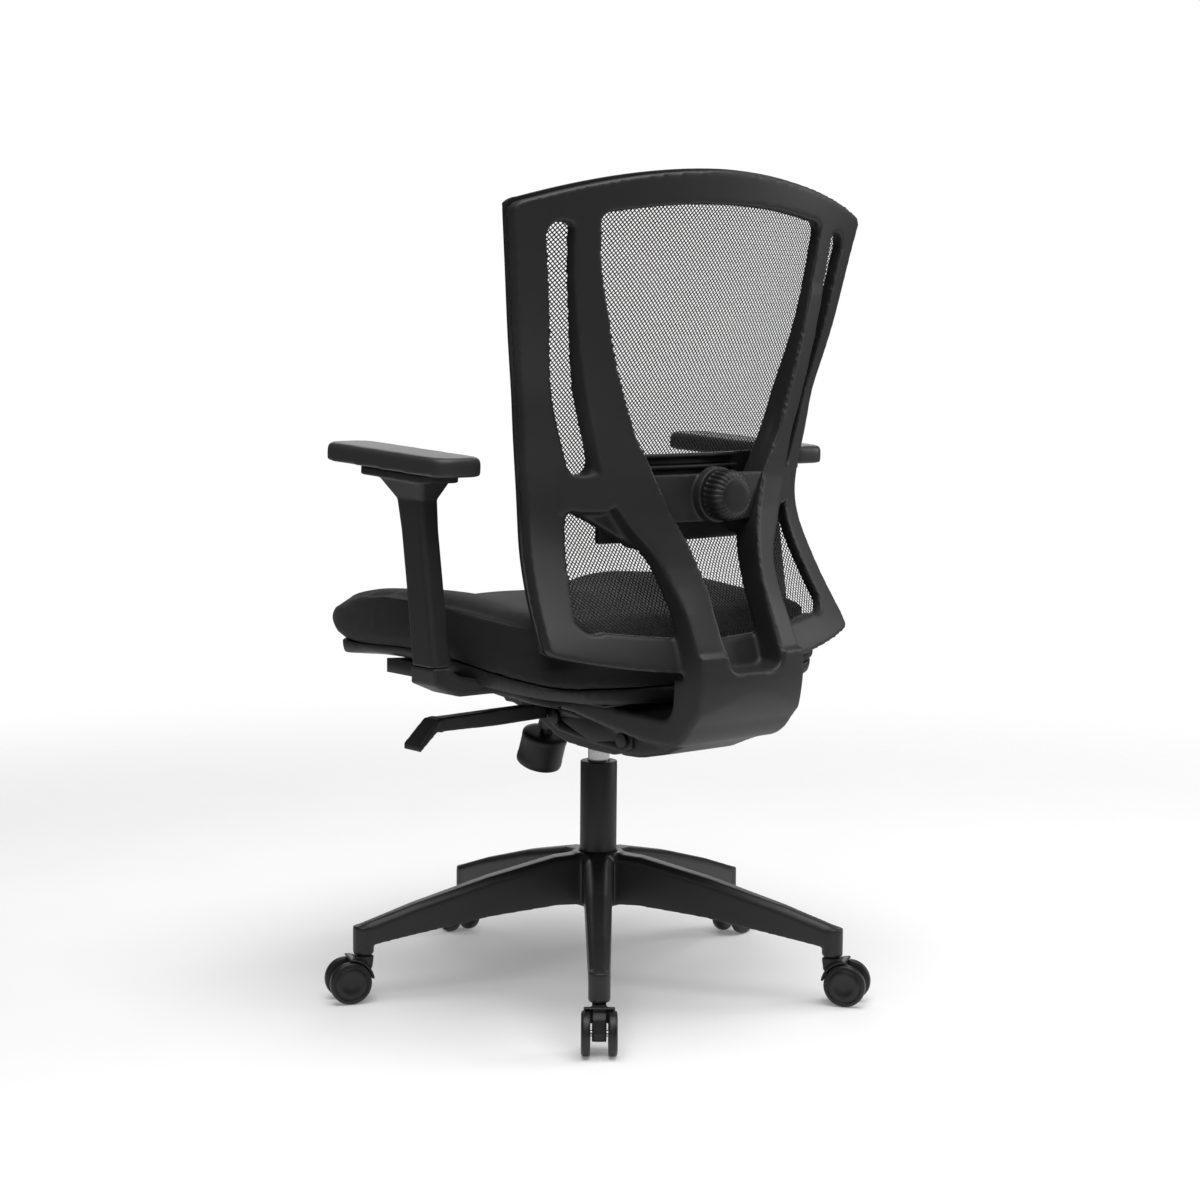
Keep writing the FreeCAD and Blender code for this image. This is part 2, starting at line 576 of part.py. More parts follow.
def arm(name, side):
    """Fixed L bracket with its post, and the sleeve, button, and pad that move on it."""
    x = side * size("arm_x")
    low = size("sleeve_bottom")
    y = size("bracket_y")
    width, thick = size("sleeve_width"), size("sleeve_thickness")

    bends = [  # distance out, height, turn of the section in radians, depth, width
        (92, 388, 0.0, 12, 56), (122, 388, 0.0, 12, 56), (150, 397, 0.35, 13, 56), (180, 409, 0.3, 15, 56),
        (209, 417, 0.12, 17, 57), (262, 420, 0.25, 23, 57), (abs(x) + 2, 433, 0.85, 28, 54),
    ]
    wires = []
    for reach, pz, slope, depth, across in bends:
        px = side * reach
        dx, dz = -math.sin(slope) * side * depth / 2, math.cos(slope) * depth / 2
        front_y, rear_y = y - across / 2, y + across / 2
        wires.append(polygon([(px - dx, front_y, pz - dz), (px - dx, rear_y, pz - dz),
                              (px + dx, rear_y, pz + dz), (px + dx, front_y, pz + dz)]))
    top = low - size("clearance")
    near, far = x + side * thick / 2, x - side * thick / 2
    wires.append(polygon([(near, y - width / 2, top), (near, y + width / 2, top),
                          (far, y + width / 2, top), (far, y - width / 2, top)]))
    bracket = Part.makeLoft(wires, True, True)
    post_width, post_thick = size("post_width"), size("post_thickness")
    post = Part.makeLoft([upright_section(z, x, post_width, post_thick, corner=3.0) for z in (top - 8, 625)],
                         True, True)
    bracket = bracket.fuse(post)
    for bolt_x, bolt_y in bracket_bolt_spots(side):
        bracket = bracket.cut(Part.makeCylinder(3, 60, Vec(bolt_x, bolt_y, 360)))
    node(feature(f"bracket_shape_{name}", bracket), f"arm_bracket_{name}")

    plate_low, plate_top = size("arm_plate_bottom"), size("arm_plate_top")
    pad_y = (size("pad_front") + size("pad_rear")) / 2
    sleeve = Part.makeLoft([
        upright_section(low, x, width, thick),
        upright_section(540, x, width - 1, thick - 2),
        upright_section(610, x, width - 1, thick - 2),
        upright_section(648, x, width + 3, thick),
        upright_section(plate_low + 1, x, width + 44, thick + 20),
    ], True, True)
    plate = Part.Face(rounded_rectangle(x, pad_y + 15, plate_low, 58, 142, 14))
    plate = tilted_with_pad(plate.extrude(Vec(0, 0, plate_top - plate_low)))
    gap = size("clearance")
    hollow = Part.makeLoft([upright_section(z, x, post_width + 2 * gap, post_thick + 2 * gap, corner=3.4)
                            for z in (low - 12, 640)], True, True)
    button_width, button_height = size("button_width"), size("button_height")
    button_low, button_y = size("button_low"), y - lean_shift(size("button_low") + 9) - width / 2 + 2
    recess = Part.makeBox(button_width + 2 * gap, 16, button_height + 2 * gap,
                          Vec(x - button_width / 2 - gap, button_y - 10, button_low - gap))
    sleeve = sleeve.fuse(plate).cut(hollow).cut(recess)
    node(feature(f"sleeve_shape_{name}", sleeve), f"arm_sleeve_{name}")

    button = Part.makeBox(button_width, 8.4, button_height,
                          Vec(x - button_width / 2, button_y - 6.4, button_low))
    button = button.makeFillet(2.0, button.Edges)
    node(feature(f"button_shape_{name}", button), f"arm_button_{name}")

    pad_top, pad_bottom = size("pad_top"), size("pad_bottom")
    pad_length = size("pad_rear") - size("pad_front")
    pad = Part.Face(rounded_rectangle(x, pad_y, pad_bottom, size("pad_width"), pad_length, 26))
    pad = pad.extrude(Vec(0, 0, pad_top - pad_bottom))
    top_edges = [edge for edge in pad.Edges if edge.BoundBox.ZMin > pad_top - 0.1]
    pad = tilted_with_pad(pad.makeFillet(7.0, top_edges))
    node(feature(f"pad_shape_{name}", pad), f"arm_pad_{name}")


def tilted_with_pad(shape):
    """The shape turned so that it rises to the front with the arm pad."""
    centre = Vec(0, (size("pad_front") + size("pad_rear")) / 2, size("pad_bottom"))
    turned = shape.copy()
    turned.rotate(centre, X_AXIS, -size("pad_tilt"))
    return turned


# ---------------------------------------------------------------- backrest

BACK_STATIONS = [  # height, half width, rear face at the edge, rear face in the middle
    (1050, 286, 185, 243), (978, 280, 177, 236), (902, 266.3, 165, 231), (826, 251, 151.5, 219.5),
    (750, 236, 139.2, 207), (674, 224.6, 131.3, 197), (640, 222.6, 131.7, 193), (612, 225, 137, 194),
    (560, 234, 158, 212), (520, 240.6, 180, 230), (484, 245.8, 202.4, 246), (438, 246, 210, 264),
]


def back_slab(front, depth):
    """Curved slab that follows the backrest, from an offset in front of its rear face."""
    wires = []
    for z, half, edge_y, middle_y in BACK_STATIONS:
        def bow(shift):
            return (Vec(-half, edge_y - shift, z), Vec(0, middle_y - shift, z), Vec(half, edge_y - shift, z))
        wires.append(bowed_wire(bow(front), bow(front + depth)))
    return Part.makeLoft(wires, True, False)


MESH_STATIONS = [  # half width, and how far the mesh stands in front of the frame in the middle
    (270, 0), (260, 2), (242, 16), (228, 31), (216, 41), (206, 48), (204, 47), (206, 43), (215, 35),
    (225, 20), (232, 8), (236, 5),
]


def mesh_sheet():
    """Thin sheet stretched between the outer bands, flatter from side to side than the frame."""
    depth, thickness = size("frame_depth"), size("mesh_depth")
    wires = []
    for (z, half, edge_y, middle_y), (mesh_half, forward) in zip(BACK_STATIONS, MESH_STATIONS):
        sag = middle_y - edge_y
        radius = (half ** 2 + sag ** 2) / (2 * sag)
        band_y = middle_y - radius + math.sqrt(radius ** 2 - mesh_half ** 2) - depth - 2
        rear = [Vec(-mesh_half, band_y, z), Vec(0, middle_y - depth - forward - 0.2, z),
                Vec(mesh_half, band_y, z)]
        fore = [point - Vec(0, thickness, 0) for point in rear]
        wires.append(bowed_wire(rear, fore))
    return Part.makeLoft(wires, True, False)


def bowed_wire(rear, fore):
    """Level closed wire between two arcs, each given by its end, middle and end."""
    return Part.Wire([Part.Arc(*rear).toShape(), Part.makeLine(rear[2], fore[2]),
                      Part.Arc(*fore[::-1]).toShape(), Part.makeLine(fore[0], rear[0])])


def xz_prism(segments):
    """Extrudes along Y a closed outline of smooth segments, each a list of (x, z) points."""
    edges = []
    for points in segments:
        spots = [(x, -50, z) for x, z in points]
        edges.append(curve(spots) if len(spots) > 2 else Part.makeLine(Vec(*spots[0]), Vec(*spots[1])))
    return outline_prism(edges, (0, 500, 0))


def chain(*segments):
    """Closes a right-hand half outline of segments with its mirror image."""
    left = [[(-x, z) for x, z in reversed(points)] for points in reversed(segments)]
    return list(segments) + left


def back_outline():
    top = size("arch_top")
    return xz_prism(chain(
        [(0, top), (138, top - 11.5), (266, top - 41)],
        [(266, top - 41), (279, top - 47), (284, top - 62)],
        [(284, top - 62), (256, 498)],
        [(256, 498), (249, 479), (229, 468.5)],
        [(229, 468.5), (120, 449), (0, 443)],
    ))


def back_window():
    """The wide opening: between the V arms above, and from side to side under the webs."""
    return xz_prism(chain(
        [(0, 1005), (90, 1001), (160, 992)],
        [(160, 992), (175, 987), (177, 970)],
        [(177, 970), (168, 902), (150, 826), (125, 750), (87, 674), (60, 606)],
        [(60, 606), (101, 590)],
        [(101, 590), (140, 617), (180, 640)],
        [(180, 640), (188, 590), (204, 512)],
        [(204, 512), (198, 501), (171, 497)],
        [(171, 497), (90, 487), (0, 481)],
    ))


def back_slot(side):
    """Long slot between a V arm and the outer band."""
    segments = [
        [(210, 966), (206, 921), (194, 845), (176, 769), (157, 705)],
        [(157, 705), (160, 684), (180, 684)],
        [(180, 684), (206, 769), (222, 845), (234, 921), (241, 960)],
        [(241, 960), (236, 976), (218, 978)],
        [(218, 978), (211, 975), (210, 966)],
    ]
    return xz_prism([[(side * x, z) for x, z in points] for points in segments])


V_ARM_STATIONS = [  # height, inner x and y, outer x and y of the rear face, and the front face's y
    (925, 172, 206, 206.5, 194.5, 176), (902, 168, 208, 203.5, 195.5, 176),
    (845, 155, 206.5, 194, 191.3, 172), (807, 145, 206, 185.2, 188.8, 168),
    (769, 132, 206.5, 175.7, 186.1, 164), (731, 119, 208, 164, 184, 160),
    (693, 97, 210.5, 154, 185, 158), (674, 87, 212, 148, 186, 158), (636, 72, 221, 132, 197, 158),
    (612, 62, 230, 118, 207, 160), (589, 54, 240, 100.7, 219.5, 164), (570, 50, 247.5, 92, 229, 177),
    (551, 46.5, 256.5, 88, 239, 192), (532, 45, 265, 84.5, 251, 204), (513, 44.4, 272.5, 82.6, 263, 214),
    (475, 43.5, 290, 83.6, 282, 230), (440, 40, 298, 85.5, 291, 238),
]


def v_arm(side):
    """One of the two arms that rise from the tail and spread out into the frame."""
    wires = []
    for z, in_x, in_y, out_x, out_y, front in V_ARM_STATIONS:
        wires.append(polygon([(side * in_x, in_y, z), (side * out_x, out_y, z),
                              (side * out_x, front, z), (side * in_x, front, z)]))
    return Part.makeLoft(wires, True, True)


def tail():
    """The J shaped foot of the spine: upright plate, bend, keel, and two cheeks beside the mechanism."""
    half, rear, front = size("tail_half"), size("tail_rear"), size("bolt_y") - 12
    profile = [
        Part.makeLine(Vec(-200, rear - 3, 468), Vec(-200, rear, 446)),
        Part.makeLine(Vec(-200, rear, 446), Vec(-200, rear, 432)),
        Part.Arc(Vec(-200, rear, 432), Vec(-200, rear - 17, 379), Vec(-200, rear - 61, 352.5)).toShape(),
        curve([(-200, rear - 61, 352.5), (-200, 215, 351), (-200, 180, 353), (-200, 150, 357),
               (-200, front, 361)]),
        Part.makeLine(Vec(-200, front, 361), Vec(-200, front, 389)),
        Part.makeLine(Vec(-200, front, 389), Vec(-200, 216, 386)),
        Part.Arc(Vec(-200, 216, 386), Vec(-200, 231, 391), Vec(-200, 238, 407)).toShape(),
        curve([(-200, 238, 407), (-200, 239.5, 424), (-200, 236, 450), (-200, 231, 468)]),
        Part.makeLine(Vec(-200, 231, 468), Vec(-200, rear - 3, 468)),
    ]
    plate = outline_prism(profile, (400, 0, 0))
    sides = xz_prism([
        [(half, 300), (half, 446)], [(half, 446), (half - 1.9, 475)], [(half - 1.9, 475), (43.5, 475)],
        [(43.5, 475), (40, 452), (28, 446)], [(28, 446), (-28, 446)], [(-28, 446), (-40, 452), (-43.5, 475)],
        [(-43.5, 475), (1.9 - half, 475)], [(1.9 - half, 475), (-half, 446)], [(-half, 446), (-half, 300)],
        [(-half, 300), (half, 300)],
    ])
    round_rear = size("tail_plan_radius")
    plan = Part.makeCylinder(round_rear, 300, Vec(0, rear - round_rear, 300))
    plate = plate.common(sides).common(plan)
    keel_half = size("housing_half") + size("plate_gap")
    keel_outline = [(front, 365), (front, 323), (150, 325), (195, 335), (236, 352), (236, 365)]
    keel = side_profile(keel_outline, keel_half)
    cheeks = []
    inner = size("cheek_inner")
    for side in SIDES.values():
        start = inner if side > 0 else -half
        cheeks.append(prism([(start, 130, 359), (start, 48, 372), (start, 0, 376), (start, -6, 379),
                             (start, -5, 381), (start, 2, 384), (start, 50, 389), (start, 130, 389)],
                            (half - inner, 0, 0)))
    return plate.fuse([keel, *cheeks])


def web_ramp(side):
    """Web that joins a V arm to the outer band under the long slot."""
    plan = [(side * 140, 190), (side * 192, 152), (side * 192, 136), (side * 140, 172)]
    return prism([(x, y, 636) for x, y in plan], (0, 0, 48))


def backrest():
    """Outer frame with its webs, the V shaped spine with its tail, the gasket and the mesh."""
    depth, gasket = size("frame_depth"), size("gasket_depth")
    slab = back_slab(0, depth)
    outline, window = back_outline(), back_window()
    spine = tail()
    for side in SIDES.values():
        spine = spine.fuse(v_arm(side))
    spine = spine.cut(back_slab(0, depth + gasket + 3))
    frame = slab.common(outline).cut(window)
    for side in SIDES.values():
        ramp = web_ramp(side).cut(spine).cut(window)
        frame = frame.fuse(ramp).cut(back_slot(side))
    node(feature("frame_shape", largest(frame)), "back_frame")

    plates, bolts = link_plates_and_bolts()
    spine = largest(spine)
    for solid in plates + bolts:
        spine = spine.cut(solid)
    spine = largest(spine)
    node(feature("spine_shape", spine), "back_spine")
    drilled = [plate.cut(Part.makeCompound(bolts)) for plate in plates]
    node(feature("link_plate_shapes", Part.makeCompound(drilled)), "link_plates")
    node(feature("bolt_shapes", Part.makeCompound(bolts)), "spine_bolts")

    lip = size("gasket_lip")
    wide = outline.fuse([outline.translated(Vec(side * lip, 0, lip)) for side in SIDES.values()])
    ring = back_slab(depth, gasket).common(wide).cut(back_window_full())
    node(feature("gasket_shape", ring), "mesh_gasket")
    mesh = mesh_sheet().common(back_window_full()).cut(back_slab(-2, depth + 2.2))
    node(feature("mesh_shape", largest(mesh)), "back_mesh")
    return frame, spine


def largest(shape):
    """The biggest solid of a shape."""
    return max(shape.Solids, key=lambda solid: solid.Volume)


def link_plates_and_bolts():
    """Steel plates from the reclining pivot to the keel, with one bolt in each."""
    bolt_y, bolt_z, thick = size("bolt_y"), size("bolt_z"), size("plate_thickness")
    y0, z0 = size("recline_y"), size("recline_z")
    low = size("housing_half") + size("plate_gap")
    outline = [(y0 - 13, z0 + 9), (y0 - 13, z0 - 9), (y0 + 2, z0 - 16), (60, 333), (bolt_y + 2, 329),
               (bolt_y + 15, 336), (bolt_y + 15, 355), (60, 364), (y0 + 4, z0 + 14)]
    hole = Part.makeCylinder(size("pivot_radius") + size("running_gap"), 200, Vec(-100, y0, z0), X_AXIS)
    plates, bolts = [], []
    for side in SIDES.values():
        x = low if side > 0 else -low - thick
        plates.append(prism([(x, y, z) for y, z in outline], (thick, 0, 0)).cut(hole))
        shank = Part.makeCylinder(6, thick + 20.5, Vec(side * (low - 20), bolt_y, bolt_z), Vec(side, 0, 0))
        cap = Part.makeCylinder(9.5, 5, Vec(side * (low + thick + 0.4), bolt_y, bolt_z), Vec(side, 0, 0))
        bolts.append(shank.fuse(cap))
    return plates, bolts


def back_window_full():
    """The gasket's single opening, inside the outer band."""
    return xz_prism(chain(
        [(0, 1015), (125, 1006), (226, 986)],
        [(226, 986), (248, 978), (253, 955)],
        [(253, 955), (225, 826), (202, 674)],
        [(202, 674), (206, 590), (219, 512)],
        [(219, 512), (213, 496), (190, 490)],
        [(190, 490), (95, 474), (0, 468)],
    ))


def level_bar(half, middle_y, radius, depth, low, high):
    """Upright strip bent to an arc in plan; middle_y is its rear face in the middle."""
    drop = radius - math.sqrt(radius ** 2 - half ** 2)
    rear = [Vec(-half, middle_y - drop, low), Vec(0, middle_y, low), Vec(half, middle_y - drop, low)]
    fore = [point - Vec(0, depth, 0) for point in rear]
    return Part.Face(bowed_wire(rear, fore)).extrude(Vec(0, 0, high - low))


def lumbar(frame, spine):
    """Carrier between the V arms, and the ribbed pad that the knob's screw drives forward."""
    z = size("lumbar_z")
    carrier = level_bar(92, 214, 600, 15, z - 33, z + 25)
    collar = Part.makeCylinder(34, 14, Vec(0, 212, z), Y_AXIS)
    screw_clear = Part.makeCylinder(6.05, 60, Vec(0, 190, z), Y_AXIS)
    carrier = largest(carrier.fuse(collar).cut(screw_clear).cut(spine).cut(frame))
    node(feature("carrier_shape", carrier), "lumbar_carrier")

    pad = level_bar(128, 161, 700, 8, z - 49, z + 48)
    for rib_z in (z + 29, z + 43):
        pad = pad.fuse(level_bar(84, 172, 700, 12, rib_z, rib_z + 5))
    pad = pad.fuse(Part.makeCylinder(10, 18, Vec(0, 156, z), Y_AXIS))
    socket = Part.makeCylinder(4.05, 40, Vec(0, 140, z), Y_AXIS)
    node(feature("lumbar_pad_shape", pad.cut(socket)), "lumbar_pad")

    knob = Part.makeCylinder(size("lumbar_knob_radius"), 26, Vec(0, 226.5, z), Y_AXIS)
    rims = [edge for edge in knob.Edges if edge.Curve.TypeId == "Part::GeomCircle"]
    knob = knob.makeFillet(4.0, rims)
    knob = knob.fuse(Part.makeCylinder(18, 17, Vec(0, 250, z), Y_AXIS))
    knob = knob.cut(Part.makeCylinder(6, 12, Vec(0, 226, z), Y_AXIS))
    node(feature("lumbar_knob_shape", knob), "lumbar_knob")
    screw = Part.makeCylinder(6, 48, Vec(0, 190, z), Y_AXIS)
    screw = screw.fuse(Part.makeCylinder(4, 40, Vec(0, 152, z), Y_AXIS))
    node(feature("lumbar_screw_shape", screw), "lumbar_screw")


# ---------------------------------------------------------------- build and write

star_base()
column()
for number in range(ARM_COUNT):
    caster(number)
mechanism()
tension_knob()
height_lever()
seat_plate()
seat()
for arm_name, arm_side in SIDES.items():
    arm(arm_name, arm_side)
bracket_bolts()
lumbar(*backrest())
doc.recompute()

for item in doc.Objects:
    if "Invalid" in item.State or "Error" in item.State:
        raise RuntimeError(f"{item.Name} failed: {item.State}")
for item in nodes:
    if item.Shape.isNull() or not item.Shape.isValid() or not item.Shape.Solids:
        raise RuntimeError(f"{item.Label} has no sound shape")

os.makedirs("parts", exist_ok=True)
for item in nodes:
    item.Shape.exportStep(os.path.join("parts", item.Label + ".step"))
    print(item.Label, len(item.Shape.Solids), "solids", round(item.Shape.Volume / 1000, 1), "cm3")
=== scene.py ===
import json
import math
import random

import bmesh
import bpy
import numpy as np
from mathutils import Matrix, Vector
from mathutils.bvhtree import BVHTree


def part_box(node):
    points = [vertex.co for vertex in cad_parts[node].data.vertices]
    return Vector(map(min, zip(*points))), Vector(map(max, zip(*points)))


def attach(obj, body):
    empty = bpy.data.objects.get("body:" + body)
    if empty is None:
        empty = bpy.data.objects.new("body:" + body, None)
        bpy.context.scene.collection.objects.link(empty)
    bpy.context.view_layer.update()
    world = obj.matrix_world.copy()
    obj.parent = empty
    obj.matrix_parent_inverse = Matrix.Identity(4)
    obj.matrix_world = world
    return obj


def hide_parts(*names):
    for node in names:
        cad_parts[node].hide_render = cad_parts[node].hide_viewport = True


# Looks of the swivel office chair. Metres, +Z up, +X the sitter's left, +Y to the rear.

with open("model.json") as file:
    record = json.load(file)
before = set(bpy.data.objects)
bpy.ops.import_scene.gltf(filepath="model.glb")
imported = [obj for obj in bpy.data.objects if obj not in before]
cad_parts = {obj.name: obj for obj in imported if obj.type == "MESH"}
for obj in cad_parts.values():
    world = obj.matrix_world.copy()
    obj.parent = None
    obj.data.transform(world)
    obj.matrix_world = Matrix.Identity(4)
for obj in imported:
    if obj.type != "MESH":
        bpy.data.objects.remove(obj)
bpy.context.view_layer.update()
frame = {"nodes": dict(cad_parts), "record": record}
nodes = frame["nodes"]
scene = bpy.context.scene
JOINTS = {joint["name"]: joint for joint in frame["record"]["behaviour"]["joints"]}
SIDES = {"left": 1, "right": -1}
CASTERS = range(1, 6)


# ---------------------------------------------------------------- camera, light and floor

CAMERA_AT = Vector((2.0310, 2.4204, 0.8589))
CAMERA_AZIMUTH = math.radians(140)
CAMERA_PITCH = 0.1099
CAMERA_ROLL = 0.0075
CAMERA_LENS = 73.49
WORLD_FILL = 0.10
FLOOR_GLOW = 0.16
FLOOR_RADIUS = 3.0


def look_along(azimuth, pitch):
    """Unit vector of a view that turns by azimuth from +Y and dips by pitch."""
    level = math.cos(pitch)
    return Vector((-math.sin(azimuth) * level, math.cos(azimuth) * level, -math.sin(pitch)))


def make_camera():
    data = bpy.data.cameras.new("camera")
    data.lens = CAMERA_LENS
    data.sensor_width = 36
    data.clip_end = 60
    camera = bpy.data.objects.new("camera", data)
    scene.collection.objects.link(camera)
    facing = look_along(CAMERA_AZIMUTH, CAMERA_PITCH).to_track_quat("-Z", "Y")
    roll = Matrix.Rotation(CAMERA_ROLL, 4, "Z")
    camera.matrix_world = Matrix.Translation(CAMERA_AT) @ facing.to_matrix().to_4x4() @ roll
    scene.camera = camera


def area_light(name, at, target, width, height, power):
    data = bpy.data.lights.new(name, "AREA")
    data.shape = "RECTANGLE"
    data.size, data.size_y = width, height
    data.energy = power
    light = bpy.data.objects.new(name, data)
    light.location = at
    light.rotation_euler = (Vector(target) - Vector(at)).to_track_quat("-Z", "Y").to_euler()
    light.visible_camera = False
    scene.collection.objects.link(light)


def make_world():
    """White backdrop for the eye, dimmer as a light so that black plastic keeps its depth."""
    world = bpy.data.worlds.new("studio")
    scene.world = world
    world.use_nodes = True
    tree = world.node_tree
    tree.nodes.clear()
    output = tree.nodes.new("ShaderNodeOutputWorld")
    mix = tree.nodes.new("ShaderNodeMixShader")
    ray = tree.nodes.new("ShaderNodeLightPath")
    fill = tree.nodes.new("ShaderNodeBackground")
    fill.inputs["Color"].default_value = (1, 1, 1, 1)
    fill.inputs["Strength"].default_value = WORLD_FILL
    seen = tree.nodes.new("ShaderNodeBackground")
    seen.inputs["Color"].default_value = (1, 1, 1, 1)
    seen.inputs["Strength"].default_value = 1.0
    tree.links.new(ray.outputs["Is Camera Ray"], mix.inputs["Fac"])
    tree.links.new(fill.outputs[0], mix.inputs[1])
    tree.links.new(seen.outputs[0], mix.inputs[2])
    tree.links.new(mix.outputs[0], output.inputs["Surface"])


class Graph:
    """Short calls for building one material's nodes."""

    def __init__(self, name):
        self.material = bpy.data.materials.new(name)
        self.material.use_nodes = True
        self.tree = self.material.node_tree
        self.tree.nodes.clear()
        self.output = self.add("ShaderNodeOutputMaterial")

    def add(self, kind, **values):
        """A node; each value is a property, an input's number or colour, or a link to an output."""
        made = self.tree.nodes.new(kind)
        for key, value in values.items():
            if hasattr(made, key):
                setattr(made, key, value)
        for key, value in values.items():
            if hasattr(made, key):
                continue
            spot = made.inputs[int(key[1:])] if key[:1] == "_" else made.inputs[key.replace("_", " ")]
            if isinstance(value, bpy.types.NodeSocket):
                self.tree.links.new(value, spot)
            else:
                spot.default_value = value
        return made

    def math(self, operation, first, second=0.0):
        made = self.add("ShaderNodeMath", operation=operation, _0=first, _1=second)
        return made.outputs[0]

    def blend(self, first, second, share=0.5):
        """Two values mixed, the first by its share."""
        return self.math("ADD", self.math("MULTIPLY", first, share),
                         self.math("MULTIPLY", second, 1 - share))

    def mapped(self, scale=(1, 1, 1), turn=(0, 0, 0)):
        """Object coordinates, turned and stretched."""
        place = self.add("ShaderNodeTexCoord").outputs["Object"]
        return self.add("ShaderNodeMapping", Vector=place, Scale=scale, Rotation=turn).outputs[0]

    def noise(self, scale, detail=3.0, roughness=0.5, vector=None):
        vector = vector or self.mapped()
        return self.add("ShaderNodeTexNoise", Vector=vector, Scale=scale, Detail=detail,
                        Roughness=roughness).outputs["Fac"]

    def spread(self, value, low, high):
        """Maps 0..1 to a range."""
        return self.add("ShaderNodeMapRange", Value=value, _3=low, _4=high).outputs[0]

    def colours(self, value, dark, light):
        ramp = self.add("ShaderNodeValToRGB", Fac=value)
        ramp.color_ramp.elements[0].color = (*dark, 1)
        ramp.color_ramp.elements[1].color = (*light, 1)
        return ramp.outputs["Color"]

    def bump(self, height, strength, distance):
        return self.add("ShaderNodeBump", Height=height, Strength=strength, Distance=distance).outputs[0]

    def surface(self, **values):
        shader = self.add("ShaderNodeBsdfPrincipled")
        for key, value in values.items():
            spot = shader.inputs[key.replace("_", " ")]
            if isinstance(value, bpy.types.NodeSocket):
                self.tree.links.new(value, spot)
            else:
                spot.default_value = value
        self.tree.links.new(shader.outputs[0], self.output.inputs["Surface"])
        return self.material


def moulded_plastic(name, tone, roughness, grain=1500.0, depth=0.00012):
    """Injection moulded plastic: fine spark-eroded grain, faint flow marks and uneven gloss."""
    graph = Graph(name)
    fine = graph.noise(grain, detail=4.0, roughness=0.6)
    broad = graph.noise(9.0, detail=2.0)
    light = [min(1.0, value * 1.25 + 0.001) for value in tone]
    dark = [value * 0.82 for value in tone]
    mixed = graph.blend(fine, broad)
    colour = graph.colours(mixed, dark, light)
    gloss = graph.spread(mixed, roughness - 0.07, roughness + 0.08)
    return graph.surface(Base_Color=colour, Roughness=gloss, IOR=1.46,
                         Normal=graph.bump(fine, 0.35, depth))


def woven_fabric(name, tone, thread=0.0011):
    """Close plain weave: two crossed sets of yarns with fibre noise and soft pilling. The colour is darker in
    the weave's low points as painted shade.
    """
    graph = Graph(name)
    turns = 2 * math.pi / thread
    rows = []
    for axis in ((1, 0, 0.7), (0, 1, 0.7)):
        place = graph.add("ShaderNodeTexCoord").outputs["Object"]
        along = graph.add("ShaderNodeVectorMath", operation="DOT_PRODUCT", _0=place, _1=axis).outputs["Value"]
        wave = graph.math("SINE", graph.math("MULTIPLY", along, turns / 2))
        rows.append(graph.math("ABSOLUTE", wave))
    weave = graph.math("MAXIMUM", rows[0], rows[1])
    fibre = graph.noise(4200.0, detail=2.0)
    broad = graph.noise(22.0, detail=3.0)
    height = graph.blend(weave, fibre, 0.75)
    # Painted shade: the colour follows the weave's height, darker between the yarns, mixed with the broad
    # pilling tone.
    shade = graph.blend(height, broad, 0.7)
    colour = graph.colours(shade, [value * 0.45 for value in tone], [value * 1.5 for value in tone])
    return graph.surface(Base_Color=colour, Roughness=graph.spread(fibre, 0.70, 0.84), IOR=1.42,
                         Sheen_Weight=0.06, Sheen_Roughness=0.5,
                         Normal=graph.bump(height, 0.6, 0.0004))


def coated_metal(name, tone, roughness):
    """Powder coat: orange peel over steel."""
    graph = Graph(name)
    peel = graph.noise(700.0, detail=2.0)
    broad = graph.noise(30.0, detail=3.0)
    colour = graph.colours(graph.blend(peel, broad), [value * 0.8 for value in tone],
                           [value * 1.25 for value in tone])
    return graph.surface(Base_Color=colour, Roughness=graph.spread(broad, roughness - 0.06, roughness + 0.08),
                         IOR=1.5, Normal=graph.bump(peel, 0.25, 0.0002))


def bare_metal(name, tone, roughness, stretch=(40, 40, 900)):
    """Ground or turned steel with fine scratches along one way."""
    graph = Graph(name)
    lines = graph.noise(1.0, detail=5.0, roughness=0.7, vector=graph.mapped(scale=stretch))
    broad = graph.noise(45.0, detail=2.0)
    colour = graph.colours(graph.blend(lines, broad, 0.6), [value * 0.8 for value in tone],
                           [min(1.0, value * 1.15) for value in tone])
    return graph.surface(Base_Color=colour, Metallic=1.0, IOR=1.5,
                         Roughness=graph.spread(lines, roughness - 0.08, roughness + 0.12),
                         Normal=graph.bump(lines, 0.15, 0.0001))


def floor_paint():
    """Pale floor that fades out evenly with distance from the chair."""
    graph = Graph("floor_paint")
    place = graph.add("ShaderNodeTexCoord").outputs["Object"]
    reach = graph.add("ShaderNodeVectorMath", operation="LENGTH", _0=place).outputs["Value"]
    fade = graph.add("ShaderNodeMapRange", Value=reach, _1=1.1, _2=2.6, _3=0.0, _4=1.0,
                     interpolation_type="SMOOTHSTEP").outputs[0]
    grain = graph.noise(6.0, detail=4.0)
    pale = graph.colours(grain, (0.86, 0.86, 0.86), (0.9, 0.9, 0.9))
    paint = graph.add("ShaderNodeBsdfDiffuse", Color=pale)
    clear = graph.add("ShaderNodeBsdfTransparent")
    glow = graph.add("ShaderNodeEmission", Color=(1, 1, 1, 1), Strength=FLOOR_GLOW)
    lit = graph.add("ShaderNodeAddShader", _0=paint.outputs[0], _1=glow.outputs[0])
    mix = graph.add("ShaderNodeMixShader", Fac=fade)
    graph.tree.links.new(lit.outputs[0], mix.inputs[1])
    graph.tree.links.new(clear.outputs[0], mix.inputs[2])
    graph.tree.links.new(mix.outputs[0], graph.output.inputs["Surface"])
    return graph.material


def make_floor():
    bm = bmesh.new()
    bmesh.ops.create_circle(bm, cap_ends=True, segments=96, radius=FLOOR_RADIUS)
    floor = new_object("floor", bm, floor_paint(), smooth=False)
    floor.location.z = -0.0002


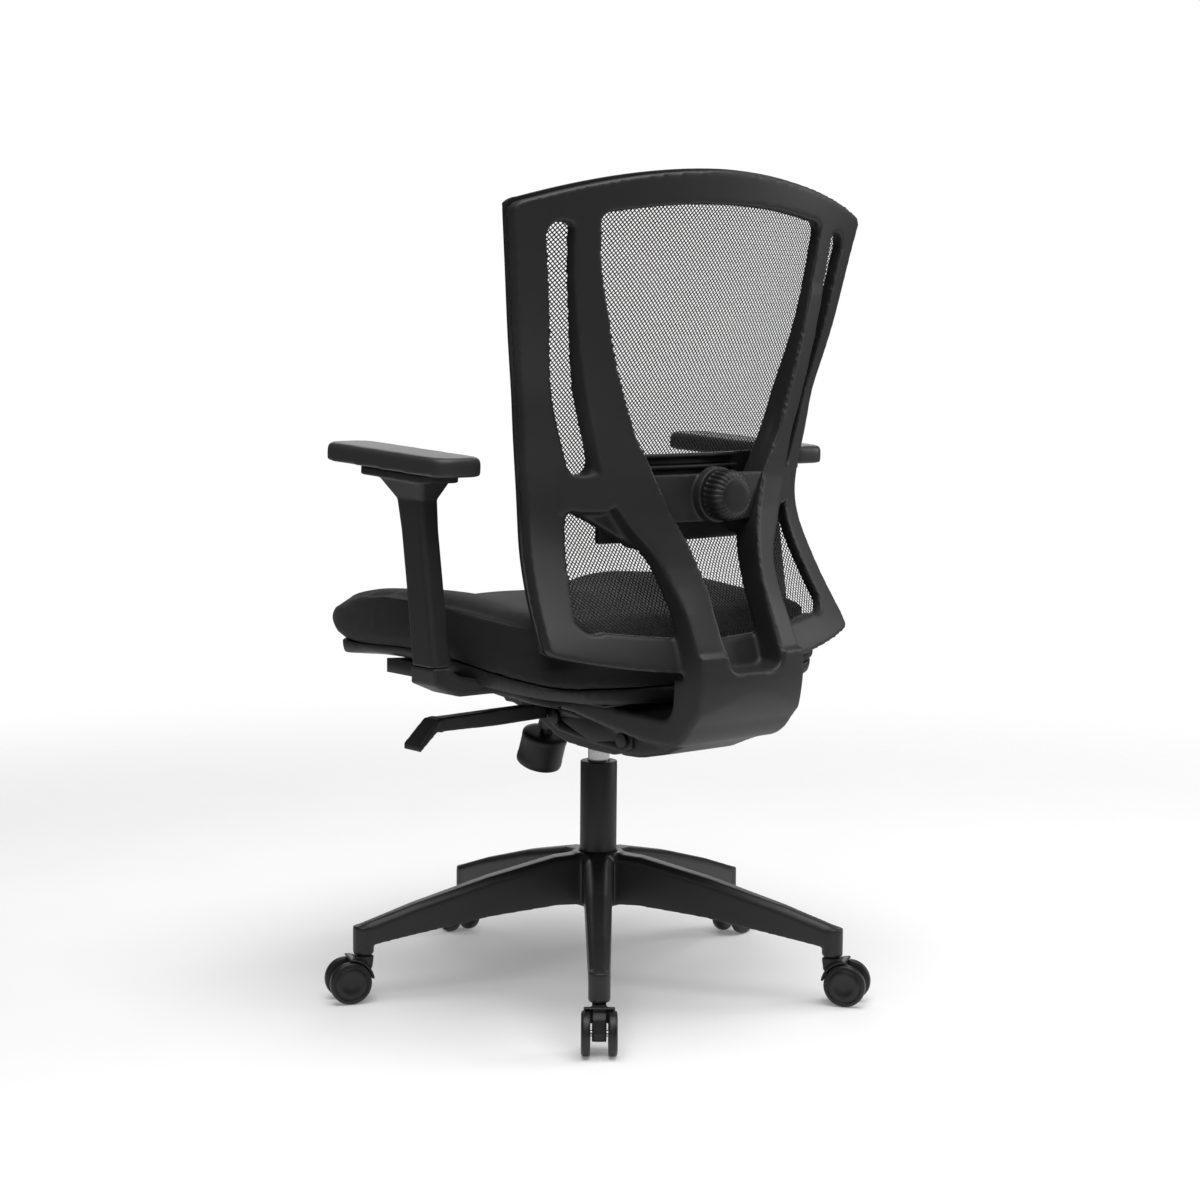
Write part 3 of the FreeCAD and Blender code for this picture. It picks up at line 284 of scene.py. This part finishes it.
# ---------------------------------------------------------------- mesh helpers

def new_object(name, bm, material, smooth=True):
    mesh = bpy.data.meshes.new(name)
    bm.to_mesh(mesh)
    bm.free()
    return link_mesh(name, mesh, material, smooth)


def link_mesh(name, mesh, material, smooth=True):
    obj = bpy.data.objects.new(name, mesh)
    scene.collection.objects.link(obj)
    mesh.materials.clear()
    mesh.materials.append(material)
    if smooth:
        mesh.shade_smooth()
    else:
        mesh.shade_flat()
    return obj


def settle(obj, body, slot, *stands_for):
    """Puts a finished piece on its body, in place of CAD nodes."""
    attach(obj, body)
    if stands_for:
        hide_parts(*stands_for)
    return obj


def copies(*names):
    """A welded bmesh of several CAD nodes."""
    bm = bmesh.new()
    for name in names:
        bm.from_mesh(nodes[name].data)
    bmesh.ops.remove_doubles(bm, verts=bm.verts, dist=2e-6)
    return bm


def bake_modifiers(obj):
    scene.view_layers[0].update()
    shown = obj.evaluated_get(bpy.context.evaluated_depsgraph_get())
    mesh = bpy.data.meshes.new_from_object(shown)
    obj.modifiers.clear()
    old, obj.data = obj.data, mesh
    bpy.data.meshes.remove(old)
    obj.data.shade_smooth()


def rounded_copy(name, sources, material, voxel, rounds):
    """CAD solids remeshed as one skin, its edges rounded by smoothing."""
    obj = new_object(name, copies(*sources), material)
    remesh = obj.modifiers.new("remesh", "REMESH")
    remesh.mode = "VOXEL"
    remesh.voxel_size = voxel
    smooth = obj.modifiers.new("round", "SMOOTH")
    smooth.factor = 0.5
    smooth.iterations = rounds
    bake_modifiers(obj)
    return obj


def bevelled_copy(name, sources, material, width, segments=2, angle=35):
    """A CAD solid with its sharp edges broken."""
    obj = new_object(name, copies(*sources), material)
    bevel = obj.modifiers.new("bevel", "BEVEL")
    bevel.width = width
    bevel.segments = segments
    bevel.limit_method = "ANGLE"
    bevel.angle_limit = math.radians(angle)
    bevel.harden_normals = False
    bake_modifiers(obj)
    obj.data.set_sharp_from_angle(angle=math.radians(40))
    return obj


# ---------------------------------------------------------------- materials by record slot

PAINTS = {
    "base_nylon": moulded_plastic("base_nylon", (0.012, 0.012, 0.0122), 0.42, grain=1700),
    "frame_plastic": moulded_plastic("frame_plastic", (0.017, 0.017, 0.0173), 0.50, grain=1500),
    "dark_plastic": moulded_plastic("dark_plastic", (0.007, 0.007, 0.0072), 0.48, grain=1700),
    "soft_plastic": moulded_plastic("soft_plastic", (0.03, 0.03, 0.0305), 0.44, grain=900, depth=0.0002),
    "wheel_plastic": moulded_plastic("wheel_plastic", (0.009, 0.009, 0.0092), 0.40, grain=1200),
    "cushion_fabric": woven_fabric("cushion_fabric", (0.0065, 0.0065, 0.0067)),
    "back_mesh": woven_fabric("back_mesh", (0.012, 0.012, 0.0123), thread=0.0006),
    "column_paint": coated_metal("column_paint", (0.006, 0.006, 0.0062), 0.46),
    "mechanism_paint": coated_metal("mechanism_paint", (0.016, 0.016, 0.0165), 0.42),
    "bright_steel": bare_metal("bright_steel", (0.62, 0.62, 0.63), 0.26),
    "spring_steel": bare_metal("spring_steel", (0.3, 0.3, 0.31), 0.35),
    "screw_steel": bare_metal("screw_steel", (0.055, 0.055, 0.057), 0.40, stretch=(300, 300, 300)),
}
for part in frame["record"]["subparts"]:
    cad = nodes[part["node"]]
    cad.data.materials.clear()
    cad.data.materials.append(PAINTS[part["material_slot"]])


# ---------------------------------------------------------------- backrest

def back_castings():
    """The frame and spine as one moulding, and the thin gasket frame that holds the net."""
    shell = rounded_copy("back_shell", ["back_frame", "back_spine"], PAINTS["frame_plastic"], 0.0029, 8)
    move_points(shell, round_heel)
    settle(shell, "back", "frame_plastic", "back_frame", "back_spine")
    gasket = bevelled_copy("gasket_frame", ["mesh_gasket"], PAINTS["dark_plastic"], 0.0016, 2, 50)
    settle(gasket, "back", "dark_plastic", "mesh_gasket")
    plates = bevelled_copy("link_plate_pair", ["link_plates"], PAINTS["mechanism_paint"], 0.0008)
    settle(plates, "back", "mechanism_paint", "link_plates")


def round_heel(points):
    """Rounds the rear of the spine's bend further under."""
    x, y, z = points.T
    low = np.clip((0.437 - z) / 0.055, 0, 1) ** 1.5
    points[:, 1] -= 0.010 * low * np.clip((y - 0.235) / 0.045, 0, 1)
    return points


NET_PITCH = 0.0039
NET_WIDTH = 0.00150
NET_DEPTH = 0.00090
NET_WEAVE = 0.00020
NET_JITTER = 0.00022
NET_SET_BACK = 0.0008
NET_OVERHANG = 0.006


def net_spots(tree, low, high):
    """Crossings of the net over the CAD sheet, by place in a diagonal grid: point, normal, inside."""
    step = NET_PITCH / math.sqrt(2)
    wide, tall = int((high.x - low.x) / step / 2) + 3, int((high.z - low.z) / step) + 4
    shake = random.Random(7)
    spots = {}
    for across in range(-wide * 2, wide * 2 + 1):
        for up in range(-2, tall + 1):
            if (across + up) % 2:
                continue
            x, z = across * step, low.z + up * step
            hit, normal, _, _ = tree.ray_cast(Vector((x, -1.0, z)), Vector((0, 1, 0)))
            if hit is None:
                continue
            normal = -normal if normal.y > 0 else normal
            loose = Vector((shake.uniform(-1, 1), 0, shake.uniform(-1, 1))) * NET_JITTER
            spots[(across, up)] = (hit + loose + Vector((0, NET_SET_BACK, 0)), normal, True)
    for across, up in list(spots):
        for dx, dz in ((1, 1), (-1, -1), (1, -1), (-1, 1)):
            key = (across + dx, up + dz)
            if key in spots:
                continue
            place = Vector((key[0] * step, spots[(across, up)][0].y, low.z + key[1] * step))
            near, _, _, far = tree.find_nearest(place)
            if far < NET_OVERHANG:
                edge_normal = spots[(across, up)][1]
                spots[key] = (Vector((place.x, near.y, place.z)), edge_normal, False)
    return spots


def back_net():
    """Open diagonal net over the CAD sheet: two sets of crossing strands, each over and under."""
    bm = copies("back_mesh")
    sheet_area = sum(face.calc_area() for face in bm.faces) / 2
    tree = BVHTree.FromBMesh(bm)
    bm.free()
    spots = net_spots(tree, *(Vector(corner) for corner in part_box("back_mesh")))
    verts, faces = [], []
    for lean in (1, -1):
        for key in sorted(spots):
            before = (key[0] - lean, key[1] - 1)
            if before in spots and (spots[before][2] or spots[key][2]):
                continue
            run = [key]
            while (run[-1][0] + lean, run[-1][1] + 1) in spots:
                run.append((run[-1][0] + lean, run[-1][1] + 1))
                if not spots[run[-1]][2]:
                    break
            if len(run) > 1:
                add_strand(verts, faces, [spots[spot] for spot in run], run[0], lean)
    mesh = bpy.data.meshes.new("back_net")
    mesh.from_pydata(verts, [], faces)
    net = link_mesh("back_net", mesh, PAINTS["back_mesh"])
    settle(net, "back", "back_mesh", "back_mesh")


def add_strand(verts, faces, spots, first, lean):
    """One strand as a three-sided tube, weaving to and fro at each crossing."""
    start = len(verts)
    along = Vector((lean, 0, 1)).normalized()
    for index, (place, normal, _) in enumerate(spots):
        tangent = (along - normal * along.dot(normal)).normalized()
        aside = normal.cross(tangent) * (NET_WIDTH / 2)
        over = 1 if (first[1] + index) % 2 == (lean > 0) else -1
        middle = place + normal * (NET_WEAVE * over)
        deep = normal * (NET_DEPTH / 2)
        verts += [middle + aside + deep * 0.4, middle - aside + deep * 0.4, middle - deep]
    for index in range(len(spots) - 1):
        ring = start + index * 3
        for corner in range(3):
            following = (corner + 1) % 3
            faces.append((ring + corner, ring + following, ring + 3 + following, ring + 3 + corner))
    last = start + (len(spots) - 1) * 3
    faces.append((start + 2, start + 1, start))
    faces.append((last, last + 1, last + 2))


# ---------------------------------------------------------------- seat

def move_points(obj, mover):
    """Moves every point of a mesh by a function of its coordinates, given as one array."""
    mesh = obj.data
    flat = np.empty(len(mesh.vertices) * 3)
    mesh.vertices.foreach_get("co", flat)
    mesh.vertices.foreach_set("co", np.asarray(mover(flat.reshape(-1, 3))).ravel())
    mesh.update()


# Sewn top edge as (y, z), and the front's outline as (x, y).
SEAT_EDGE = [(-0.324, 0.460), (-0.293, 0.484), (-0.262, 0.497), (-0.233, 0.504), (-0.153, 0.512),
             (-0.100, 0.5135), (-0.006, 0.5095), (0.059, 0.5045), (0.146, 0.4975), (0.200, 0.489)]
SEAT_FRONT = [(0, -0.311), (0.110, -0.309), (0.189, -0.301), (0.212, -0.290), (0.226, -0.278),
              (0.238, -0.240), (0.243, -0.200)]
SHOULDER = 0.478
PADDLE_LEVEL = 0.407
PADDLE_RAISED = 0.417
PADDLE_THINNING = 0.82
CUSHION_HEM = 0.4545
CUSHION_SWELL = 0.0022


def seat_drop(x, y):
    """How far the joint of cushion and pan stands above its level in the CAD."""
    back = np.clip(y / 0.190, 0, 1)
    side = -0.019 * back ** 1.3
    middle = -0.012 * back ** 2 * np.clip(1 - (x / 0.230) ** 2, 0, 1)
    hump = 0.006 * np.exp(-((y + 0.090) / 0.090) ** 2)
    return side + middle + hump


def square_shoulders(points):
    """Pulls the side of the top up to a sewn edge, as the boxed cover has it."""
    x, y, z = points.T
    edge = np.interp(y, *zip(*SEAT_EDGE))
    near_side = np.clip((np.abs(x) - 0.196) / 0.022, 0, 1)
    squared = np.minimum(SHOULDER + (z - SHOULDER) * 2.2, edge)
    points[:, 2] += np.where(z > SHOULDER, np.maximum(squared - z, 0) * near_side, 0)
    return points


def round_nose(points):
    """Turns the front of the box into a full round, like a disc drawn from a square."""
    reach, middle, half = 0.050, 0.472, 0.027
    front = np.interp(np.abs(points[:, 0]), *zip(*SEAT_FRONT))
    ahead = np.clip(1 - (points[:, 1] - front) / reach, 0, 1)
    up = np.clip((points[:, 2] - middle) / half, -1.2, 1.2)
    points[:, 1] += reach * ahead * (1 - np.sqrt(1 - np.clip(up * up, 0, 1) / 2))
    points[:, 2] -= half * up * (1 - np.sqrt(1 - ahead * ahead / 2))
    return points


def drop_cushion(points):
    """Sets the cushion's foot on its joint with the pan, hollows its top and draws the nose forward."""
    share = np.clip((0.500 - points[:, 2]) / 0.053, 0, 1)
    hem = 0.0018 * np.clip((0.452 - points[:, 2]) / 0.004, 0, 1)
    x, y, z = points.T
    hollow = 0.007 * np.clip(1 - (x / 0.232) ** 2, 0, 1) * np.clip((-0.060 - y) / 0.110, 0, 1)
    hollow = hollow * np.clip((z - 0.470) / 0.020, 0, 1)
    points[:, 2] += seat_drop(x, y) * share - hem - hollow
    points[:, 1] -= 0.011 * np.clip((-0.170 - y) / 0.110, 0, 1)
    return full_corners(points)


def full_corners(points):
    """Fills out the rear corners of the seat below the backrest's edge."""
    x, y, z = points.T
    share = np.clip((np.abs(x) - 0.140) / 0.080, 0, 1) * np.clip((y - 0.060) / 0.090, 0, 1)
    share = share * np.clip((0.467 - z) / 0.015, 0, 1)
    points[:, 0] += np.sign(x) * 0.007 * share
    points[:, 1] += 0.013 * share
    return points


def drop_pan(points):
    """Carries the pan's rim down with the joint, and shapes its lower edge from nose to heel."""
    x, y, z = points.T
    share = np.clip((z - 0.406) / 0.025, 0, 1)
    low_edge = np.clip((0.446 - z) / 0.009, 0, 1)
    nose = -0.008 * np.exp(-((y + 0.270) / 0.070) ** 2)
    heel = -0.007 * np.clip(y / 0.190, 0, 1)
    belly = -0.012 * np.exp(-((np.abs(x) - 0.230) / 0.030) ** 2) * np.exp(-((y - 0.010) / 0.110) ** 2)
    points[:, 2] += share * (seat_drop(x, y) + low_edge * (nose + heel + belly))
    points[:, 1] += 0.014 * np.clip((-0.190 - y) / 0.110, 0, 1)
    return full_corners(points)


def thin_paddle(points):
    """Thins the depth paddle and raises its middle to the pan's lower edge."""
    return points * [1, 1, PADDLE_THINNING] + [0, 0, PADDLE_RAISED - PADDLE_LEVEL * PADDLE_THINNING]


def seat_parts():
    """Upholstered cushion, its shallow pan, the depth paddle and the plate below."""
    cushion = new_object("cushion", copies("seat_cushion"), PAINTS["cushion_fabric"])
    move_points(cushion, lambda points: points * [0.992, 0.992, 1.0] + [0, -0.0005, 0])
    remesh = cushion.modifiers.new("remesh", "REMESH")
    remesh.mode = "VOXEL"
    remesh.voxel_size = 0.006
    smooth = cushion.modifiers.new("round", "SMOOTH")
    smooth.iterations = 2
    bake_modifiers(cushion)
    move_points(cushion, square_shoulders)
    move_points(cushion, round_nose)
    inflate(cushion, CUSHION_HEM, CUSHION_SWELL)
    divide = cushion.modifiers.new("divide", "SUBSURF")
    divide.levels = 1
    even = cushion.modifiers.new("even", "SMOOTH")
    even.iterations = 3
    bake_modifiers(cushion)
    move_points(cushion, drop_cushion)
    settle(cushion, "seat", "cushion_fabric", "seat_cushion")
    top_stitching(cushion)

    pan = rounded_copy("pan_shell", ["seat_pan"], PAINTS["frame_plastic"], 0.0026, 4)
    move_points(pan, drop_pan)
    settle(pan, "seat", "frame_plastic", "seat_pan")
    paddle = bevelled_copy("depth_paddle", ["slide_paddle"], PAINTS["dark_plastic"], 0.0014, 3)
    move_points(paddle, thin_paddle)
    settle(paddle, "slide_lever", "dark_plastic", "slide_paddle")
    plate = bevelled_copy("seat_carrier", ["seat_plate"], PAINTS["mechanism_paint"], 0.0006, 1)
    settle(plate, "seat_frame", "mechanism_paint", "seat_plate")


def inflate(obj, held_below, most):
    """Swells a pad by cloth pressure, held along its underside, and caps how far a point moves."""
    rest = [vertex.co.copy() for vertex in obj.data.vertices]
    pinned = obj.vertex_groups.new(name="held")
    pinned.add([index for index, place in enumerate(rest) if place.z < held_below], 1.0, "REPLACE")
    cloth = obj.modifiers.new("cloth", "CLOTH")
    cloth.settings.quality = 4
    cloth.settings.use_pressure = True
    cloth.settings.uniform_pressure_force = 4.0
    cloth.settings.vertex_group_mass = "held"
    cloth.settings.effector_weights.gravity = 0
    cloth.collision_settings.use_collision = False
    cloth.point_cache.frame_start, cloth.point_cache.frame_end = 1, 20
    for number in range(1, 21):
        scene.frame_set(number)
    shown = obj.evaluated_get(bpy.context.evaluated_depsgraph_get())
    swollen = [vertex.co.copy() for vertex in shown.data.vertices]
    obj.modifiers.clear()
    scene.frame_set(1)
    for vertex, before, after in zip(obj.data.vertices, rest, swollen):
        move = after - before
        vertex.co = before + (move.normalized() * most if move.length > most else move)
    obj.vertex_groups.clear()


STITCH_PITCH = 0.0046
STITCH_RADIUS = 0.0005
STITCH_STANDS_OUT = 0.0003


def top_stitching(cushion):
    """Row of stitches along both top side edges of the cushion."""
    bm = bmesh.new()
    bm.from_mesh(cushion.data)
    tree = BVHTree.FromBMesh(bm)
    bm.free()
    stitches = bmesh.new()
    for side in SIDES.values():
        places = []
        for y in np.arange(-0.215, 0.120, STITCH_PITCH):
            place, normal, _, _ = tree.ray_cast(Vector((side * 0.433, y, 0.706)), Vector((-side, 0, -1)))
            if place:
                places.append((place, normal))
        for (place, normal), (after, _) in zip(places, places[1:]):
            raised = normal * STITCH_STANDS_OUT
            add_stitch(stitches, place + raised, place.lerp(after, 0.68) + raised, normal)
    obj = new_object("cushion_stitches", stitches, PAINTS["cushion_fabric"])
    settle(obj, "seat", "cushion_fabric")


def add_stitch(bm, start, end, normal):
    """A short thread lying on the cloth, thicker in its middle."""
    along = (end - start).normalized()
    aside = normal.cross(along)
    rings = []
    for share, size in ((0.0, 0.35), (0.25, 0.9), (0.75, 0.9), (1.0, 0.35)):
        centre = start.lerp(end, share)
        ring = []
        for step in range(6):
            turn = step * math.pi / 3
            out = aside * math.cos(turn) + normal * math.sin(turn)
            ring.append(bm.verts.new(centre + out * (STITCH_RADIUS * size)))
        rings.append(ring)
    for ring, following in zip(rings, rings[1:]):
        for step in range(6):
            other = (step + 1) % 6
            bm.faces.new((ring[step], ring[other], following[other], following[step]))
    bm.faces.new(rings[0][::-1])
    bm.faces.new(rings[-1])


# ---------------------------------------------------------------- arms

def arms():
    """Brackets, sleeves with their plates, catch buttons and moulded pads, on both sides."""
    for name in SIDES:
        bracket = rounded_copy(f"bracket_{name}", [f"arm_bracket_{name}"], PAINTS["frame_plastic"], 0.0018, 6)
        settle(bracket, "seat_frame", "frame_plastic", f"arm_bracket_{name}")
        sleeve = rounded_copy(f"sleeve_{name}", [f"arm_sleeve_{name}"], PAINTS["frame_plastic"], 0.0015, 5)
        settle(sleeve, f"arm_{name}", "frame_plastic", f"arm_sleeve_{name}")
        button = rounded_copy(f"catch_{name}", [f"arm_button_{name}"], PAINTS["dark_plastic"], 0.0008, 3)
        settle(button, f"button_{name}", "dark_plastic", f"arm_button_{name}")
        pad = rounded_copy(f"pad_{name}", [f"arm_pad_{name}"], PAINTS["soft_plastic"], 0.0024, 14)
        settle(pad, f"pad_{name}", "soft_plastic", f"arm_pad_{name}")


# ---------------------------------------------------------------- mechanism

TENSION_KNOB_TOP = 0.0045
TENSION_KNOB = [(0.0085, 0.004), (0.022, 0.0042), (0.0285, 0.0035), (0.0302, 0.002), (0.0308, 0.0),
                (0.0308, -0.004), (0.0303, -0.006), (0.0303, -0.030), (0.0308, -0.032),
                (0.0308, -0.038), (0.0300, -0.0405), (0.0275, -0.0422), (0.020, -0.0425),
                (0.0185, -0.0415), (0.001, -0.0415)]


def mechanism_parts():
    """Rounded housing, lever, tension knob, pivot heads and bolts."""
    housing = rounded_copy("housing_shell", ["mechanism_housing"], PAINTS["mechanism_paint"], 0.0014, 5)
    settle(housing, "mechanism", "mechanism_paint", "mechanism_housing")
    lever = rounded_copy("lever_and_paddle", ["height_lever", "lever_paddle"], PAINTS["dark_plastic"],
                         0.0012, 6)
    settle(lever, "lever", "dark_plastic", "height_lever", "lever_paddle")
    joint = JOINTS["tilt_tension"]
    profile = [(radius, height - TENSION_KNOB_TOP) for radius, height in TENSION_KNOB]
    knob = turned("tension_grip", profile, 144, Vector(joint["pos_m"]), -Vector(joint["axis"]),
                  PAINTS["dark_plastic"])
    settle(knob, "tension", "dark_plastic", "tension_knob")
    for pivot in ("tilt_pivot", "recline_pivot"):
        heads = bevelled_copy(f"{pivot}_heads", [pivot], PAINTS["screw_steel"], 0.0012, 3, 50)
        settle(heads, "mechanism", "screw_steel", pivot)
    bolts = bevelled_copy("keel_bolts", ["spine_bolts"], PAINTS["screw_steel"], 0.0012, 3, 50)
    settle(bolts, "back", "screw_steel", "spine_bolts")


def turned(name, profile, segments, centre, axis, material, flutes=None):
    """A surface of revolution from (radius, height) pairs, closed at both ends, with optional flutes."""
    count, depth, (low, high) = flutes or (0, 0.0, (0.0, 0.0))
    frame_turn = axis.to_track_quat("Z", "Y").to_matrix()
    bm = bmesh.new()
    rings = []
    for radius, height in profile:
        ring = []
        for step in range(segments):
            turn = 2 * math.pi * step / segments
            cut_in = depth * (0.5 - 0.5 * math.cos(turn * count)) if low <= height <= high else 0.0
            reach = radius - cut_in
            place = Vector((reach * math.cos(turn), reach * math.sin(turn), height))
            ring.append(bm.verts.new(centre + frame_turn @ place))
        rings.append(ring)
    for ring, following in zip(rings, rings[1:]):
        for step in range(segments):
            other = (step + 1) % segments
            bm.faces.new((ring[step], following[step], following[other], ring[other]))
    bm.faces.new(rings[0])
    bm.faces.new(rings[-1][::-1])
    bmesh.ops.recalc_face_normals(bm, faces=bm.faces)
    obj = new_object(name, bm, material)
    obj.data.set_sharp_from_angle(angle=math.radians(50))
    return obj


# ---------------------------------------------------------------- base and casters

# Half of a wheel pair from its middle outward: a hub, the rounded tread and a recessed outer face.
WHEEL = [(0.0042, 0.0106), (0.0165, 0.0106), (0.0178, 0.0112), (0.0255, 0.0108), (0.0264, 0.0116),
         (0.02695, 0.0134), (0.02700, 0.0150), (0.02695, 0.0184), (0.0262, 0.0204), (0.0246, 0.0214),
         (0.0226, 0.0217), (0.0221, 0.0206), (0.0212, 0.0203), (0.0204, 0.0206), (0.0196, 0.0216),
         (0.0120, 0.0218), (0.0112, 0.0211), (0.0040, 0.0209), (0.0008, 0.0209)]


def base_and_casters():
    """Star base with soft edges, column, hooded forks and turned wheels."""
    star = rounded_copy("base_star", ["star_base"], PAINTS["base_nylon"], 0.0022, 8)
    settle(star, "base", "base_nylon", "star_base")
    tube = bevelled_copy("column_outer", ["column_tube"], PAINTS["column_paint"], 0.0010, 2, 50)
    settle(tube, "base", "column_paint", "column_tube")
    for number in CASTERS:
        hood = rounded_copy(f"fork_hood_{number}", [f"caster_hood_{number}"], PAINTS["base_nylon"], 0.0011, 4)
        settle(hood, f"fork_{number}", "base_nylon", f"caster_hood_{number}")
        roll = JOINTS[f"caster_roll_{number}"]
        pair = []
        for name, side in SIDES.items():
            outward = Vector(roll["axis"]) * side
            pair.append(turned(f"wheel_{number}_{name}", WHEEL, 72, Vector(roll["pos_m"]), outward,
                               PAINTS["wheel_plastic"]))
        for wheel in pair:
            settle(wheel, f"wheels_{number}", "wheel_plastic")
        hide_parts(f"caster_wheels_{number}")


# ---------------------------------------------------------------- lumbar support

LUMBAR_KNOB_FACE = 0.2265
LUMBAR_PAD_DROP = 0.011
LUMBAR_KNOB = [(0.0064, 0.0), (0.0270, 0.0), (0.0305, 0.0012), (0.0313, 0.0040), (0.0315, 0.0060),
               (0.0315, 0.0105), (0.0315, 0.0150), (0.0312, 0.0190), (0.0303, 0.0222),
               (0.0286, 0.0250), (0.0262, 0.0272), (0.0236, 0.0288), (0.0222, 0.0292),
               (0.0214, 0.0300), (0.0200, 0.0306), (0.0120, 0.0309), (0.0008, 0.0309)]


def lumbar_parts():
    """Carrier between the V arms, ribbed pad behind the net, and the fluted knob."""
    carrier = rounded_copy("lumbar_bridge", ["lumbar_carrier"], PAINTS["frame_plastic"], 0.0014, 5)
    settle(carrier, "back", "frame_plastic", "lumbar_carrier")
    pad = rounded_copy("lumbar_plate", ["lumbar_pad"], PAINTS["dark_plastic"], 0.0014, 4)
    low, high = (corner[2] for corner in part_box("lumbar_pad"))
    reach = (high - low) * 0.4

    def lower_foot(points):
        foot = np.clip(1 - (points[:, 2:] - low) / reach, 0, 1)
        return points - [0, 0, LUMBAR_PAD_DROP] * foot

    move_points(pad, lower_foot)
    settle(pad, "lumbar", "dark_plastic", "lumbar_pad")
    centre = Vector((0, LUMBAR_KNOB_FACE, JOINTS["lumbar_turn"]["pos_m"][2]))
    knob = turned("lumbar_grip", LUMBAR_KNOB, 224, centre, Vector((0, 1, 0)), PAINTS["dark_plastic"],
                  flutes=(28, 0.0022, (0.005, 0.0290)))
    settle(knob, "lumbar_drive", "dark_plastic", "lumbar_knob")


# ---------------------------------------------------------------- run

scene.view_settings.view_transform = "Standard"
make_camera()
make_world()
make_floor()
area_light("overhead", (0.2, 0.6, 3.0), (0, 0, 0.4), 3.2, 2.6, 98)
area_light("key", (-3.4, 1.7, 1.8), (0, 0, 0.7), 1.4, 2.0, 40)
area_light("side", (2.6, 2.4, 2.6), (0, 0, 0.7), 1.2, 1.6, 10)
area_light("rim", (-2.6, -3.3, 1.7), (0, 0, 0.6), 3.0, 1.8, 34)

back_castings()
seat_parts()
arms()
mechanism_parts()
base_and_casters()
lumbar_parts()
back_net()
